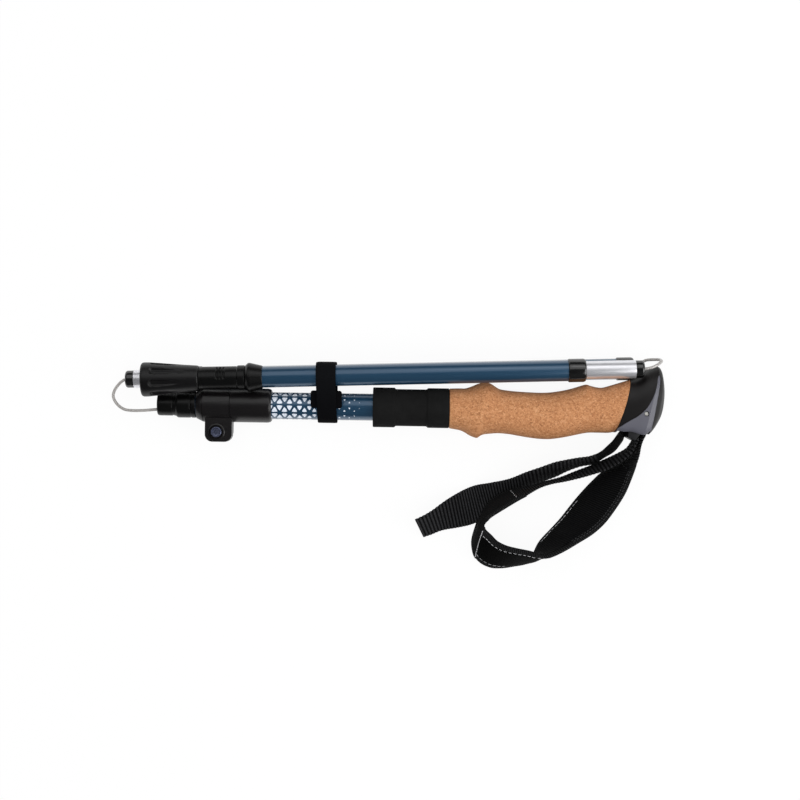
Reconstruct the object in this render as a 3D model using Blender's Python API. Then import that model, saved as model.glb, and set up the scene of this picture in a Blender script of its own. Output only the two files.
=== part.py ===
"""Folding trekking pole, folded flat, as separate closed pieces.

All sizes below are in millimetres. The handle's axis runs along +X towards the grip head, +Y is the
finger side of the grip, +Z is up, and the pole lies on z = 0. placed() moves everything so that the
footprint's centre is the origin, and turns millimetres into metres.
"""
import math

import bmesh
import bpy
from mathutils import Matrix, Vector

for old in list(bpy.data.objects):
    bpy.data.objects.remove(old, do_unlink=True)

# The frame
CENTRE_X = -8.6
CENTRE_Y = -35.9
HANDLE_Z = 16.0
SECTION_3_Z = 9.3
SECTION_4_Z = 28.6
SECTION_3_Y = 22.85
SECTION_4_Y = 22.12
SPLAY = math.radians(2.05)
ROUND = 24
FIT = 0.3

HANDLE = Matrix.Translation((0.0, 0.0, HANDLE_Z))
SECTION_3 = Matrix.Translation((0.0, SECTION_3_Y, SECTION_3_Z)) @ Matrix.Rotation(SPLAY, 4, "Z")
SECTION_4 = Matrix.Translation((0.0, SECTION_4_Y, SECTION_4_Z)) @ Matrix.Rotation(SPLAY, 4, "Z")
ROOM = Matrix.Identity(4)

# The tubes' radii
HANDLE_TUBE_R = 9.0
HANDLE_TUBE_BORE = 8.35
SECTION_2_R = 8.0
SECTION_2_BORE = 7.35
LOWER_TUBE_R = 7.0
LOWER_TUBE_BORE = 6.28
FERRULE_R = 6.0
FERRULE_BORE = 5.25
CAP_R = 5.8
COLLAR_R = 7.75
CORD_R = 1.0

COLOURS = {
    "blue_metal": ((0.05, 0.13, 0.24), 0.75, 0.35),
    "cork": ((0.55, 0.3, 0.15), 0.0, 0.9),
    "black_plastic": ((0.02, 0.02, 0.022), 0.0, 0.4),
    "grey_plastic": ((0.2, 0.21, 0.25), 0.0, 0.35),
    "black_rubber": ((0.025, 0.025, 0.027), 0.0, 0.8),
    "webbing": ((0.012, 0.012, 0.014), 0.0, 0.85),
    "padding": ((0.01, 0.01, 0.012), 0.0, 0.9),
    "bright_metal": ((0.75, 0.76, 0.78), 1.0, 0.25),
    "dark_metal": ((0.25, 0.27, 0.32), 0.9, 0.35),
    "cord": ((0.6, 0.6, 0.58), 0.3, 0.4),
}


def material(name):
    made = bpy.data.materials.get(name)
    if made is None:
        colour, metallic, roughness = COLOURS[name]
        made = bpy.data.materials.new(name)
        made.use_nodes = True
        shader = made.node_tree.nodes["Principled BSDF"]
        shader.inputs["Base Color"].default_value = (*colour, 1.0)
        shader.inputs["Metallic"].default_value = metallic
        shader.inputs["Roughness"].default_value = roughness
    return made


def placed(frame, point):
    at = frame @ Vector(point)
    return Vector((at.x - CENTRE_X, at.y - CENTRE_Y, at.z)) * 0.001


def solid(name, mat, frame, points, faces):
    """One closed body from points in millimetres."""
    mesh = bpy.data.meshes.new(name)
    mesh.from_pydata([placed(frame, p) for p in points], [], faces)
    work = bmesh.new()
    work.from_mesh(mesh)
    bmesh.ops.remove_doubles(work, verts=work.verts, dist=1e-7)
    bmesh.ops.triangulate(work, faces=work.faces)
    bmesh.ops.recalc_face_normals(work, faces=work.faces)
    work.to_mesh(mesh)
    work.free()
    made = bpy.data.objects.new(name, mesh)
    mesh.materials.append(material(mat))
    bpy.context.scene.collection.objects.link(made)
    return made


def cutter(made):
    made.hide_render = True
    made.display_type = "WIRE"
    return made


def cut(made, tool, operation="DIFFERENCE"):
    mod = made.modifiers.new(tool.name, "BOOLEAN")
    mod.operation = operation
    mod.solver = "EXACT"
    mod.object = tool
    return made


def skin(name, mat, frame, rings, looped=False, strips=False):
    """A body through rings of equal length: closed by end faces, or by joining the last ring to the first.

    With strips, each end face is made of strips between points that mirror each other, so that it may curve.
    """
    n = len(rings[0])
    points = [p for ring in rings for p in ring]
    faces = []
    spans = len(rings) if looped else len(rings) - 1
    for i in range(spans):
        a = i * n
        b = ((i + 1) % len(rings)) * n
        for k in range(n):
            m = (k + 1) % n
            faces.append((a + k, a + m, b + m, b + k))
    for end in () if looped else (0, (len(rings) - 1) * n):
        if strips:
            for k in range(n // 2):
                faces.append((end + k, end + k + 1, end + n - k - 1, end + (n - k) % n))
        else:
            faces.append(tuple(range(end, end + n)))
    return solid(name, mat, frame, points, faces)


def circle(s, r, sides):
    return [
        (s, r * math.cos(2 * math.pi * k / sides), r * math.sin(2 * math.pi * k / sides))
        for k in range(sides)
    ]


def turned(name, mat, frame, profile, sides=ROUND, hollow=True):
    """A turned piece about the frame's X axis. profile lists (along, radius), closed round if hollow."""
    return skin(name, mat, frame, [circle(s, r, sides) for s, r in profile], looped=hollow)


def prism(name, mat, frame, outline, low, high):
    """An outline in XY, given a height in Z."""
    n = len(outline)
    points = [(x, y, low) for x, y in outline] + [(x, y, high) for x, y in outline]
    faces = [tuple(range(n)), tuple(range(n, 2 * n))]
    for k in range(n):
        m = (k + 1) % n
        faces.append((k, m, n + m, n + k))
    return solid(name, mat, frame, points, faces)


def smooth_path(points, steps):
    """A Catmull-Rom curve through points."""
    out = []
    pts = [Vector(p) for p in points]
    pts = [2 * pts[0] - pts[1]] + pts + [2 * pts[-1] - pts[-2]]
    for i in range(1, len(pts) - 2):
        for k in range(steps):
            t = k / steps
            a, b, c, d = pts[i - 1], pts[i], pts[i + 1], pts[i + 2]
            out.append(
                0.5
                * (
                    2 * b
                    + (c - a) * t
                    + (2 * a - 5 * b + 4 * c - d) * t * t
                    + (3 * b - a - 3 * c + d) * t * t * t
                )
            )
    out.append(pts[-2])
    return out


def rod(name, mat, frame, path, radius, sides=8):
    """A round bar along a path. radius is one number, or one for each point."""
    pts = [Vector(p) for p in path]
    radii = radius if isinstance(radius, list) else [radius] * len(pts)
    across = None
    rings = []
    for i, p in enumerate(pts):
        along = (pts[min(i + 1, len(pts) - 1)] - pts[max(i - 1, 0)]).normalized()
        if across is None:
            across = along.orthogonal().normalized()
        across = (across - along * across.dot(along)).normalized()
        other = along.cross(across)
        rings.append(
            [
                p
                + across * radii[i] * math.cos(2 * math.pi * k / sides)
                + other * radii[i] * math.sin(2 * math.pi * k / sides)
                for k in range(sides)
            ]
        )
    return skin(name, mat, frame, rings)


def ribbon(name, mat, stations, thick):
    """A band between its top edge and its bottom edge, each given as a line of points."""
    tops = [Vector(a) for a, b in stations]
    feet = [Vector(b) for a, b in stations]
    rings = []
    for i in range(len(stations)):
        lo = max(i - 1, 0)
        hi = min(i + 1, len(stations) - 1)
        across = (tops[i] - feet[i]).normalized()
        along = ((tops[hi] + feet[hi]) - (tops[lo] + feet[lo])).normalized()
        out = along.cross(across).normalized() * thick / 2
        rings.append([tops[i] + out, feet[i] + out, feet[i] - out, tops[i] - out])
    return skin(name, mat, ROOM, rings)


def leaning(top, foot, low, width, inset=0.0):
    """The edge points of a band of this width, from its outline in plan. inset allows for its thickness."""
    flat = math.hypot(top[0] - foot[0], top[1] - foot[1])
    share = min(inset / max(flat, 0.01), 0.3)
    over = (foot[0] - top[0], foot[1] - top[1])
    flat *= 1 - 2 * share
    rise = math.sqrt(max(width * width - flat * flat, 0.0))
    tx, ty = top[0] + over[0] * share, top[1] + over[1] * share
    fx, fy = foot[0] - over[0] * share, foot[1] - over[1] * share
    return (tx, ty, low + rise), (fx, fy, low)


# Handle section
HANDLE_TUBE_FOOT = -128.2
HANDLE_TUBE_TOP = 141.4
GRIP_START = 32.9
EVA_R = 13.25
EVA_WAIST_R = 12.25
GRIP_BORE = 9.25
PLUG_R = 8.05


def handle_tube():
    turned(
        "handle_tube",
        "blue_metal",
        HANDLE,
        [
            (HANDLE_TUBE_FOOT, HANDLE_TUBE_BORE),
            (HANDLE_TUBE_FOOT, HANDLE_TUBE_R),
            (HANDLE_TUBE_TOP, HANDLE_TUBE_R),
            (HANDLE_TUBE_TOP, HANDLE_TUBE_BORE),
        ],
    )


def lower_sleeve():
    turned(
        "lower_grip_sleeve",
        "black_rubber",
        HANDLE,
        [
            (-17.94, 9.15),
            (-17.94, EVA_R - 0.6),
            (-17.3, EVA_R),
            (-3.9, EVA_R),
            (-3.26, EVA_WAIST_R + 0.3),
            (-2.9, EVA_WAIST_R),
            (17.7, EVA_WAIST_R),
            (18.09, EVA_WAIST_R + 0.3),
            (18.7, EVA_R),
            (32.2, EVA_R),
            (32.7, EVA_R - 0.5),
            (32.7, 9.15),
        ],
    )


# The grip's plan outline: along, finger side, palm side, half thickness, squareness
GRIP = [
    (GRIP_START, 13.2, -13.3, 13.2, 2.0),
    (39.9, 13.4, -14.5, 13.7, 2.0),
    (43.3, 13.4, -15.9, 14.0, 2.0),
    (46.6, 14.4, -17.9, 14.3, 2.0),
    (49.9, 15.8, -19.2, 14.6, 2.0),
    (51.8, 16.6, -19.5, 14.7, 2.0),
    (53.8, 17.2, -18.0, 14.7, 2.0),
    (56.5, 17.6, -16.7, 14.5, 2.0),
    (59.9, 17.1, -16.3, 14.2, 2.05),
    (63.3, 15, -15.95, 13.9, 2.1),
    (66.6, 13.2, -15.85, 13.7, 2.1),
    (73.3, 12.25, -16.4, 13.8, 2.15),
    (80.0, 11.75, -17.5, 14.1, 2.2),
    (86.7, 11.45, -18.5, 14.5, 2.2),
    (93.4, 11.3, -19.2, 14.8, 2.2),
    (100.0, 11.6, -19.25, 14.9, 2.2),
    (106.7, 12.6, -18.4, 14.8, 2.2),
    (113.3, 14.05, -17.1, 14.6, 2.2),
    (119.9, 16.1, -15.6, 14.5, 2.2),
    (123.9, 17.2, -14.8, 14.5, 2.2),
    (127.0, 16.3, -14.35, 14.5, 2.2),
    (133.3, 15.2, -14.1, 14.6, 2.25),
    (138.6, 16.3, -14.0, 14.8, 2.3),
]
BOUNDARY_FINGER = (152.5, 20.7)
BOUNDARY_PALM = (142.5, -13.3)
BOUNDARY_BEND = 0.9


def section_ring(finger, palm, half, square, bend=0.0, palm_square=None, sides=ROUND):
    """A rounded cross-section that stands on the line from the finger side to the palm side."""
    fx, fy = finger
    px, py = palm
    length = math.hypot(fx - px, fy - py)
    out_x = (fy - py) / length
    out_y = -(fx - px) / length
    ring = []
    for k in range(sides):
        angle = 2 * math.pi * k / sides
        c = math.cos(angle)
        s = math.sin(angle)
        n = square if c >= 0 or palm_square is None else palm_square
        t = math.copysign(abs(c) ** (2 / n), c)
        z = math.copysign(abs(s) ** (2 / n), s) * half
        swell = bend * (1 - t * t)
        x = (fx + px) / 2 + (fx - px) / 2 * t + out_x * swell
        y = (fy + py) / 2 + (fy - py) / 2 * t + out_y * swell
        ring.append((x, y, z))
    return ring


def boundary_x(y):
    """Where the grip ends and its head begins, along X, at this Y."""
    share = (y - BOUNDARY_PALM[1]) / (BOUNDARY_FINGER[1] - BOUNDARY_PALM[1])
    chord = BOUNDARY_PALM[0] + (BOUNDARY_FINGER[0] - BOUNDARY_PALM[0]) * share
    return chord + BOUNDARY_BEND * (1 - (2 * share - 1) ** 2)


def cork_grip():
    rings = [
        section_ring((x, finger), (x, palm), half, square)
        for x, finger, palm, half, square in GRIP
    ]
    rings.append(section_ring(BOUNDARY_FINGER, BOUNDARY_PALM, 15.2, 2.6, BOUNDARY_BEND))
    bore_end = HANDLE_TUBE_TOP + FIT
    inner = [
        [(boundary_x(y), y, z) for _, y, z in circle(0.0, PLUG_R + 0.25, ROUND)],
        circle(bore_end, PLUG_R + 0.25, ROUND),
        circle(bore_end, GRIP_BORE, ROUND),
        circle(GRIP_START, GRIP_BORE, ROUND),
    ]
    skin("cork_grip", "cork", HANDLE, rings + inner, looped=True)


# The head's stations: finger side, palm side, half thickness, bend
HEAD = [
    ((152.85, 20.7), (142.85, -13.3), 15.2, 0.9),
    ((156.6, 21.3), (147.6, -15.0), 15.5, 1.0),
    ((159.8, 24.3), (152.6, -14.9), 15.7, 1.1),
    ((162.8, 27.2), (158.0, -15.6), 15.8, 1.2),
    ((166.8, 29.2), (162.6, -16.7), 15.6, 1.2),
    ((170.4, 30.2), (166.2, -16.1), 14.6, 1.5),
    ((172.2, 28.4), (168.9, -13.4), 12.4, 1.8),
    ((173.5, 25.0), (171.6, -9.0), 9.4, 1.4),
    ((174.5, 20.0), (173.9, -3.5), 6.0, 0.9),
    ((175.1, 14.5), (175.2, 3.5), 2.6, 0.3),
]
HEAD_SQUARE = 2.3
PALM_SQUARE = 5.0
INSERT_THICK = 1.6
STRAP_WIDTH = 24.0
POCKET_HALF = STRAP_WIDTH / 2 + 0.3
POCKET = [
    (140.6, -24.0),
    (142.2, -15.2),
    (145.4, -10.8),
    (148.6, -5.0),
    (153.0, 2.6),
    (158.0, 5.0),
    (163.5, 5.0),
    (167.4, 1.8),
    (167.4, -6.0),
    (165.2, -15.0),
    (164.6, -24.0),
]
INSERT_OUTLINE = [
    (170.4, 26.0),
    (169.7, 21.5),
    (168.9, 17.0),
    (167.4, 11.6),
    (165.0, 6.2),
    (161.6, 1.1),
    (156.5, -3.4),
    (150.6, -6.9),
    (146.4, -9.7),
    (142.4, -13.3),
    (141.0, -24.0),
    (168.6, -24.0),
    (167.4, -12.0),
    (168.6, -5.0),
    (170.3, 1.5),
    (171.5, 7.6),
    (172.6, 12.8),
    (172.6, 18.2),
    (171.6, 26.0),
]
STRAP_PIN = (162.3, -1.6)
STRAP_PIN_R = 1.6


def head_body(name, mat, inset):
    """The head's whole form, drawn in from its surface by inset."""
    rings = []
    for i, (finger, palm, half, bend) in enumerate(HEAD):
        fx, fy = finger
        px, py = palm
        length = math.hypot(fx - px, fy - py)
        ux = (fx - px) / length * inset
        uy = (fy - py) / length * inset
        shift = inset * (1 - 2 * i / (len(HEAD) - 1))
        ring = section_ring(
            (fx - ux + shift, fy - uy),
            (px + ux + shift, py + uy),
            max(half - inset, 0.9),
            HEAD_SQUARE,
            bend,
            PALM_SQUARE,
        )
        rings.append(ring)
    return skin(name, mat, HANDLE, rings, strips=True)


def grown(outline, by):
    """An outline given anticlockwise or clockwise, moved out by a little at each corner."""
    area = sum(
        a[0] * b[1] - b[0] * a[1] for a, b in zip(outline, outline[1:] + outline[:1])
    )
    side = 1 if area > 0 else -1
    out = []
    n = len(outline)
    for k in range(n):
        before = Vector(outline[k]) - Vector(outline[k - 1])
        after = Vector(outline[(k + 1) % n]) - Vector(outline[k])
        normal = (before.normalized() + after.normalized()).normalized()
        out.append(
            (outline[k][0] + side * by * normal.y, outline[k][1] - side * by * normal.x)
        )
    return out


def grip_head():
    core = cutter(head_body("cut_core", "black_plastic", INSERT_THICK + 0.15))
    recess = cutter(
        prism("cut_recess", "black_plastic", HANDLE, grown(INSERT_OUTLINE, 0.12), -20.0, 20.0)
    )
    cut(recess, core)
    pocket = cutter(
        prism("cut_pocket", "black_plastic", HANDLE, POCKET, -POCKET_HALF, POCKET_HALF)
    )
    hole = cutter(pin_shape("cut_pin", STRAP_PIN_R + 0.25, -22.0, 22.0))
    plug = cutter(
        turned(
            "cut_plug",
            "black_plastic",
            HANDLE,
            [(132.6, 6.8), (133.8, PLUG_R), (153.0, PLUG_R)],
            hollow=False,
        )
    )
    head = head_body("grip_head", "black_plastic", 0.0)
    cut(head, recess)
    cut(head, plug, "UNION")
    cut(head, pocket)
    cut(head, hole)
    insert = head_body("head_insert", "grey_plastic", 0.0)
    cut(
        insert,
        cutter(prism("cut_swoosh", "grey_plastic", HANDLE, INSERT_OUTLINE, -20.0, 20.0)),
        "INTERSECT",
    )
    cut(insert, cutter(head_body("cut_inner", "grey_plastic", INSERT_THICK)))
    cut(insert, pocket)
    cut(insert, hole)


def pin_shape(name, radius, low, high):
    path = [(STRAP_PIN[0], STRAP_PIN[1], low), (STRAP_PIN[0], STRAP_PIN[1], high)]
    return rod(name, "bright_metal", HANDLE, path, radius, 16)


WEDGE = [
    (153.4, -3.4),
    (158.2, -3.4),
    (159.4, -9.0),
    (159.0, -15.0),
    (155.6, -19.8),
    (150.8, -17.3),
    (151.2, -10.0),
]


def strap_wedge():
    prism("strap_wedge", "black_plastic", HANDLE, WEDGE, 0.6 - STRAP_WIDTH / 2, STRAP_WIDTH / 2 - 0.6)


# The wrist strap: plan of the top edge, plan of the bottom edge, height of the bottom edge, width
STRAP_LOW = HANDLE_Z - STRAP_WIDTH / 2
TAIL = [
    ((160.0, 1.9), (160.0, 1.9), STRAP_LOW, 24.0),
    ((154.6, 0.2), (154.6, 0.2), STRAP_LOW, 24.0),
    ((150.3, -5.6), (150.3, -5.6), STRAP_LOW, 24.0),
    ((147.4, -11.2), (148.6, -12.0), STRAP_LOW, 24.0),
    ((144.2, -15.4), (149.8, -18.0), 4.0, 24.0),
    ((141.6, -19.4), (148.8, -23.4), 3.0, 24.0),
    ((138.3, -22.8), (144.8, -27.9), 2.5, 24.0),
    ((132.8, -27.2), (139.8, -31.8), 2.0, 24.0),
    ((126.3, -30.1), (131.8, -35.7), 1.5, 24.0),
    ((118.4, -31.2), (122.6, -37.7), 1.2, 24.0),
    ((110.4, -32.9), (113.7, -41.0), 1.0, 24.0),
    ((103.0, -34.9), (106.3, -44.9), 1.0, 24.0),
    ((94.1, -38.4), (97.9, -48.6), 1.0, 24.0),
    ((84.3, -42.1), (88.9, -54.5), 1.0, 24.0),
    ((73.8, -46.4), (78.2, -63.0), 1.0, 24.0),
    ((61.5, -49.1), (67.4, -69.8), 1.0, 24.0),
    ((51.7, -51.3), (58.4, -73.9), 1.0, 24.0),
    ((43.5, -55.0), (48.9, -77.9), 1.0, 24.0),
    ((34.8, -60.0), (39.5, -80.2), 1.0, 24.0),
    ((28.8, -64.2), (33.4, -81.4), 1.0, 24.0),
    ((23.2, -68.2), (28.2, -82.7), 1.0, 24.0),
    ((17.1, -71.8), (22.6, -85.2), 1.0, 24.0),
    ((11.3, -74.4), (17.3, -87.2), 1.0, 24.0),
]
LEAD = [
    ((161.0, 2.0), (161.0, 2.0), STRAP_LOW, 24.0),
    ((164.2, 1.6), (164.2, 1.6), STRAP_LOW, 24.0),
    ((166.0, -1.6), (166.0, -1.6), STRAP_LOW, 24.0),
    ((164.2, -8.0), (164.2, -8.0), STRAP_LOW, 24.0),
    ((162.2, -15.0), (162.2, -15.0), STRAP_LOW, 24.0),
    ((160.2, -19.6), (160.2, -20.2), STRAP_LOW, 24.0),
    ((158.6, -24.0), (157.8, -25.2), 4.0, 24.0),
    ((157.4, -28.4), (155.2, -29.8), 4.0, 24.0),
    ((156.6, -32.0), (153.0, -33.4), 4.0, 24.0),
]
PAD = [
    ((156.6, -33.2), (151.8, -34.6), 3.8, 25.5),
    ((156.1, -36.6), (146.2, -37.6), 2.6, 29.0),
    ((153.1, -44.8), (136.8, -41.6), 2.0, 32.0),
    ((149.3, -55.0), (128.6, -48.8), 2.0, 32.0),
    ((142.7, -66.2), (120.9, -57.2), 2.0, 32.0),
    ((136.4, -74.2), (115.3, -64.6), 2.0, 32.0),
    ((128.7, -80.6), (108.8, -73.5), 2.0, 32.0),
    ((118.4, -86.8), (101.6, -81.0), 2.0, 32.0),
    ((108.2, -92.4), (95.6, -86.8), 2.0, 32.0),
    ((100.4, -95.8), (92.6, -91.6), 2.0, 32.0),
    ((95.0, -95.4), (91.4, -97.4), 2.0, 32.0),
    ((91.0, -94.2), (90.8, -102.0), 2.0, 32.0),
    ((86.0, -92.8), (85.4, -104.4), 2.0, 32.0),
    ((79.0, -91.4), (78.6, -106.0), 2.0, 32.0),
    ((71.4, -89.2), (70.8, -107.2), 2.0, 32.0),
    ((65.4, -86.4), (63.3, -107.0), 2.0, 31.0),
    ((61.0, -83.2), (56.6, -103.6), 2.2, 30.0),
    ((58.3, -79.9), (52.4, -98.0), 3.0, 29.0),
    ((57.2, -76.8), (50.2, -90.7), 4.2, 28.0),
    ((58.0, -74.0), (51.4, -82.0), 5.4, 27.0),
    ((60.9, -71.2), (54.8, -74.0), 6.4, 26.5),
    ((65.9, -67.8), (60.0, -66.6), 7.6, 26.0),
    ((72.1, -64.0), (66.9, -60.9), 9.4, 25.5),
    ((78.1, -60.0), (74.4, -57.0), 11.2, 25.0),
    ((84.0, -56.4), (81.8, -53.8), 12.2, 24.0),
]
RETURN = [
    ((84.5, -56.15), (82.3, -53.55), 12.2, 24.0),
    ((92.6, -51.8), (92.0, -50.8), 10.0, 24.0),
    ((100.6, -48.2), (100.8, -47.4), 8.0, 24.0),
    ((109.6, -46.2), (110.8, -44.4), 5.0, 24.0),
    ((119.9, -44.0), (121.4, -40.4), 3.5, 24.0),
    ((129.5, -41.8), (130.8, -36.9), 3.0, 24.0),
    ((136.6, -39.4), (137.9, -33.9), 3.0, 24.0),
    ((143.4, -35.6), (144.6, -31.2), 3.5, 24.0),
    ((149.2, -31.6), (150.2, -27.9), 4.0, 24.0),
    ((153.1, -27.4), (154.6, -24.2), 4.0, 24.0),
    ((155.7, -22.6), (156.8, -20.4), STRAP_LOW, 24.0),
]
WEBBING_THICK = 1.5
PAD_THICK = 3.0
EDGE_SHARE = 0.4


def wrist_strap():
    for name, mat, rows, thick in (
        ("strap_tail", "webbing", TAIL, WEBBING_THICK),
        ("strap_lead", "webbing", LEAD, WEBBING_THICK),
        ("strap_pad", "padding", PAD, PAD_THICK),
        ("strap_return", "webbing", RETURN, WEBBING_THICK),
    ):
        ribbon(name, mat, [leaning(*row, thick * EDGE_SHARE) for row in rows], thick)


# The keeper that holds the folded sections together
KEEPER_LOW = -55.7
KEEPER_HIGH = -42.7
KEEPER_SKEW = 0.03
KEEPER_THICK = 1.5
KEEPER_GAP = 0.5
TAB_LOW = -58.8
TAB_HIGH = -38.3
TAB_THICK = 1.5
TAB_HALF = 6.2


def hull(points):
    """The convex outline round points, anticlockwise."""
    points = sorted(set(points))

    def half(run):
        out = []
        for p in run:
            while len(out) > 1 and (
                (out[-1][0] - out[-2][0]) * (p[1] - out[-2][1])
                - (out[-1][1] - out[-2][1]) * (p[0] - out[-2][0])
                <= 1e-9
            ):
                out.pop()
            out.append(p)
        return out[:-1]

    return half(points) + half(points[::-1])


def tab_corners():
    """The cross tab's corners in YZ: it lies on the handle tube, along the tie's slope."""
    slope = math.radians(25.5)
    along = Vector((math.cos(slope), math.sin(slope)))
    out = Vector((-math.sin(slope), math.cos(slope)))
    foot = Vector((0.0, HANDLE_Z)) + out * (HANDLE_TUBE_R + FIT) + along * (TAB_HALF + 3.8)
    corners = [
        foot - along * TAB_HALF,
        foot + along * TAB_HALF,
        foot + along * TAB_HALF + out * TAB_THICK,
        foot - along * TAB_HALF + out * TAB_THICK,
    ]
    return [tuple(c) for c in corners]


def keeper():
    middle = (KEEPER_LOW + KEEPER_HIGH) / 2
    held = [
        (0.0, HANDLE_Z, HANDLE_TUBE_R),
        (SECTION_3_Y + middle * math.tan(SPLAY), SECTION_3_Z, LOWER_TUBE_R),
        (SECTION_4_Y + middle * math.tan(SPLAY), SECTION_4_Z, LOWER_TUBE_R),
    ]
    dots = []
    for y, z, r in held:
        for k in range(36):
            angle = math.pi * k / 18
            reach = r + KEEPER_GAP
            dots.append((round(y + reach * math.cos(angle), 4), round(z + reach * math.sin(angle), 4)))
    for y, z in tab_corners():
        dots.append((round(y - 0.2, 4), round(z + 0.3, 4)))
    inside = hull(dots)
    outside = grown(inside, KEEPER_THICK)
    rings = [
        [(end + KEEPER_SKEW * (30.0 - y), y, z) for y, z in path]
        for end, path in (
            (KEEPER_LOW, inside),
            (KEEPER_LOW, outside),
            (KEEPER_HIGH, outside),
            (KEEPER_HIGH, inside),
        )
    ]
    skin("keeper_strap", "black_rubber", ROOM, rings, looped=True)
    points = tab_corners()
    skin(
        "keeper_tab",
        "black_rubber",
        ROOM,
        [[(x, y, z) for y, z in points] for x in (TAB_LOW, TAB_HIGH)],
    )


# The lever clamp at the handle tube's lower end, about the handle's axis
BAND_LOW = -130.6
BAND_HIGH = -112.9
BAND_R = 11.4
BAND_BORE = 10.05
EAR_LOW = -129.0
EAR_HIGH = -111.1
EAR_REACH = 24.4
EAR_TOP = 7.6
EAR_FOOT = -4.0
SLIT = 0.8
CORNER = 5.0
SCREW = (-121.5, -17.9)
SCREW_HEAD_R = 3.55
LEVER_PIN = (-17.9, -8.6)
LEVER_PIN_R = 2.6


def clamp_sleeve():
    turned(
        "clamp_sleeve",
        "black_plastic",
        HANDLE,
        [
            (-135.36, 8.25),
            (-135.36, 9.1),
            (-131.2, 11.1),
            (-130.8, 11.1),
            (-130.8, 9.9),
            (-112.7, 9.9),
            (-112.7, 11.37),
            (-87.6, 11.37),
            (-86.2, 11.0),
            (-85.32, 10.2),
            (-85.32, 9.15),
            (HANDLE_TUBE_FOOT - FIT, 9.15),
            (HANDLE_TUBE_FOOT - FIT, 8.25),
        ],
    )


def ear_span(y):
    """The ear's two ends along X at this Y, with its corners rounded."""
    depth = max(0.0, -(y + EAR_REACH - CORNER))
    inset = CORNER - math.sqrt(max(CORNER * CORNER - depth * depth, 0.0))
    return EAR_LOW + inset, EAR_HIGH - inset


def ear_outline(face, far, steps):
    """One ear's section in YZ, out along the slit and back along its far face."""
    out = [(y, face, True) for y in steps]
    back = [(y, far, True) for y in reversed(steps)]
    return [(-11.6, face, False)] + out + back + [(-11.6, far, False)]


def clamp_band():
    upper = ear_outline(SLIT, EAR_TOP, [-12.1, -19.4, -21.2, -22.7, -23.8, -24.4])
    lower = ear_outline(-SLIT, EAR_FOOT, [-12.1, -19.4, -21.2, -22.4])
    start = math.atan2(EAR_TOP, -math.sqrt(BAND_R**2 - EAR_TOP**2))
    end = math.atan2(EAR_FOOT, -math.sqrt(BAND_R**2 - EAR_FOOT**2))
    lip = math.asin(SLIT / BAND_BORE)
    turns = 22
    outside = []
    inside = []
    for k in range(turns + 1):
        angle = start + (end - start) * k / turns
        outside.append((BAND_R * math.cos(angle), BAND_R * math.sin(angle), False))
        angle = -math.pi + lip + (2 * math.pi - 2 * lip) * k / turns
        inside.append((BAND_BORE * math.cos(angle), BAND_BORE * math.sin(angle), False))
    outline = upper + outside + lower[::-1] + inside
    n = len(outline)
    points = []
    for side in (0, 1):
        for y, z, ear in outline:
            span = ear_span(y) if ear else (BAND_LOW, BAND_HIGH)
            points.append((span[side], y, z))
    faces = [(k, (k + 1) % n, n + (k + 1) % n, n + k) for k in range(n)]
    after = len(upper) + len(outside)
    for side in (0, n):
        for first, count in ((0, len(upper)), (after, len(lower))):
            for k in range(count // 2 - 1):
                left = first + k
                right = first + count - 1 - k
                faces.append((side + left, side + left + 1, side + right - 1, side + right))
        ring = [0] + list(range(len(upper) - 1, after + 1)) + list(range(after + len(lower) - 1, n))
        faces.append(tuple(side + k for k in ring))
    band = solid("clamp_band", "black_plastic", HANDLE, points, faces)
    path = [
        (SCREW[0], SCREW[1], -12.0),
        (SCREW[0], SCREW[1], 5.6),
        (SCREW[0], SCREW[1], 5.61),
        (SCREW[0], SCREW[1], 12.0),
    ]
    seat = rod("cut_seat", "black_plastic", HANDLE, path, [1.7, 1.7, 4.7, 4.7], 20)
    cut(band, cutter(seat))


def clamp_screw():
    x, y = SCREW
    path = [(x, y, z) for z in (-10.4, 5.85, 5.86, 8.0, 8.4, 8.401, 6.9)]
    radii = [1.35, 1.35, SCREW_HEAD_R, SCREW_HEAD_R, SCREW_HEAD_R - 0.4, 1.6, 1.6]
    rings = []
    for (px, py, pz), r in zip(path, radii):
        rings.append(
            [
                (px + r * math.cos(math.pi * k / 9), py + r * math.sin(math.pi * k / 9), pz)
                for k in range(18)
            ]
        )
    skin("clamp_screw", "dark_metal", HANDLE, rings)


def clamp_lever():
    py, pz = LEVER_PIN
    cam = 4.35
    inner = 12.0
    outer = 14.7
    outline = []
    for degrees in range(50, 271, 20):
        angle = math.radians(degrees)
        outline.append((py + cam * math.cos(angle), pz + cam * math.sin(angle)))
    for degrees in range(246, 311, 8):
        angle = math.radians(degrees)
        outline.append((outer * math.cos(angle), outer * math.sin(angle)))
    for degrees in range(311, 221, -9):
        angle = math.radians(degrees)
        outline.append((inner * math.cos(angle), inner * math.sin(angle)))
    rings = [[(x, y, z) for y, z in outline] for x in (-128.4, -113.2)]
    lever = skin("clamp_lever", "black_plastic", HANDLE, rings)
    bore = rod(
        "cut_lever_bore",
        "black_plastic",
        HANDLE,
        [(-132.0, py, pz), (-108.0, py, pz)],
        LEVER_PIN_R + 0.2,
        18,
    )
    cut(lever, cutter(bore))
    low, high = SCREW[0] - 2.6, SCREW[0] + 2.6
    slot = prism(
        "cut_lever_slot",
        "black_plastic",
        HANDLE,
        [(low, -24.0), (high, -24.0), (high, -12.2), (low, -12.2)],
        -15.0,
        0.0,
    )
    cut(lever, cutter(slot))


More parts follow.
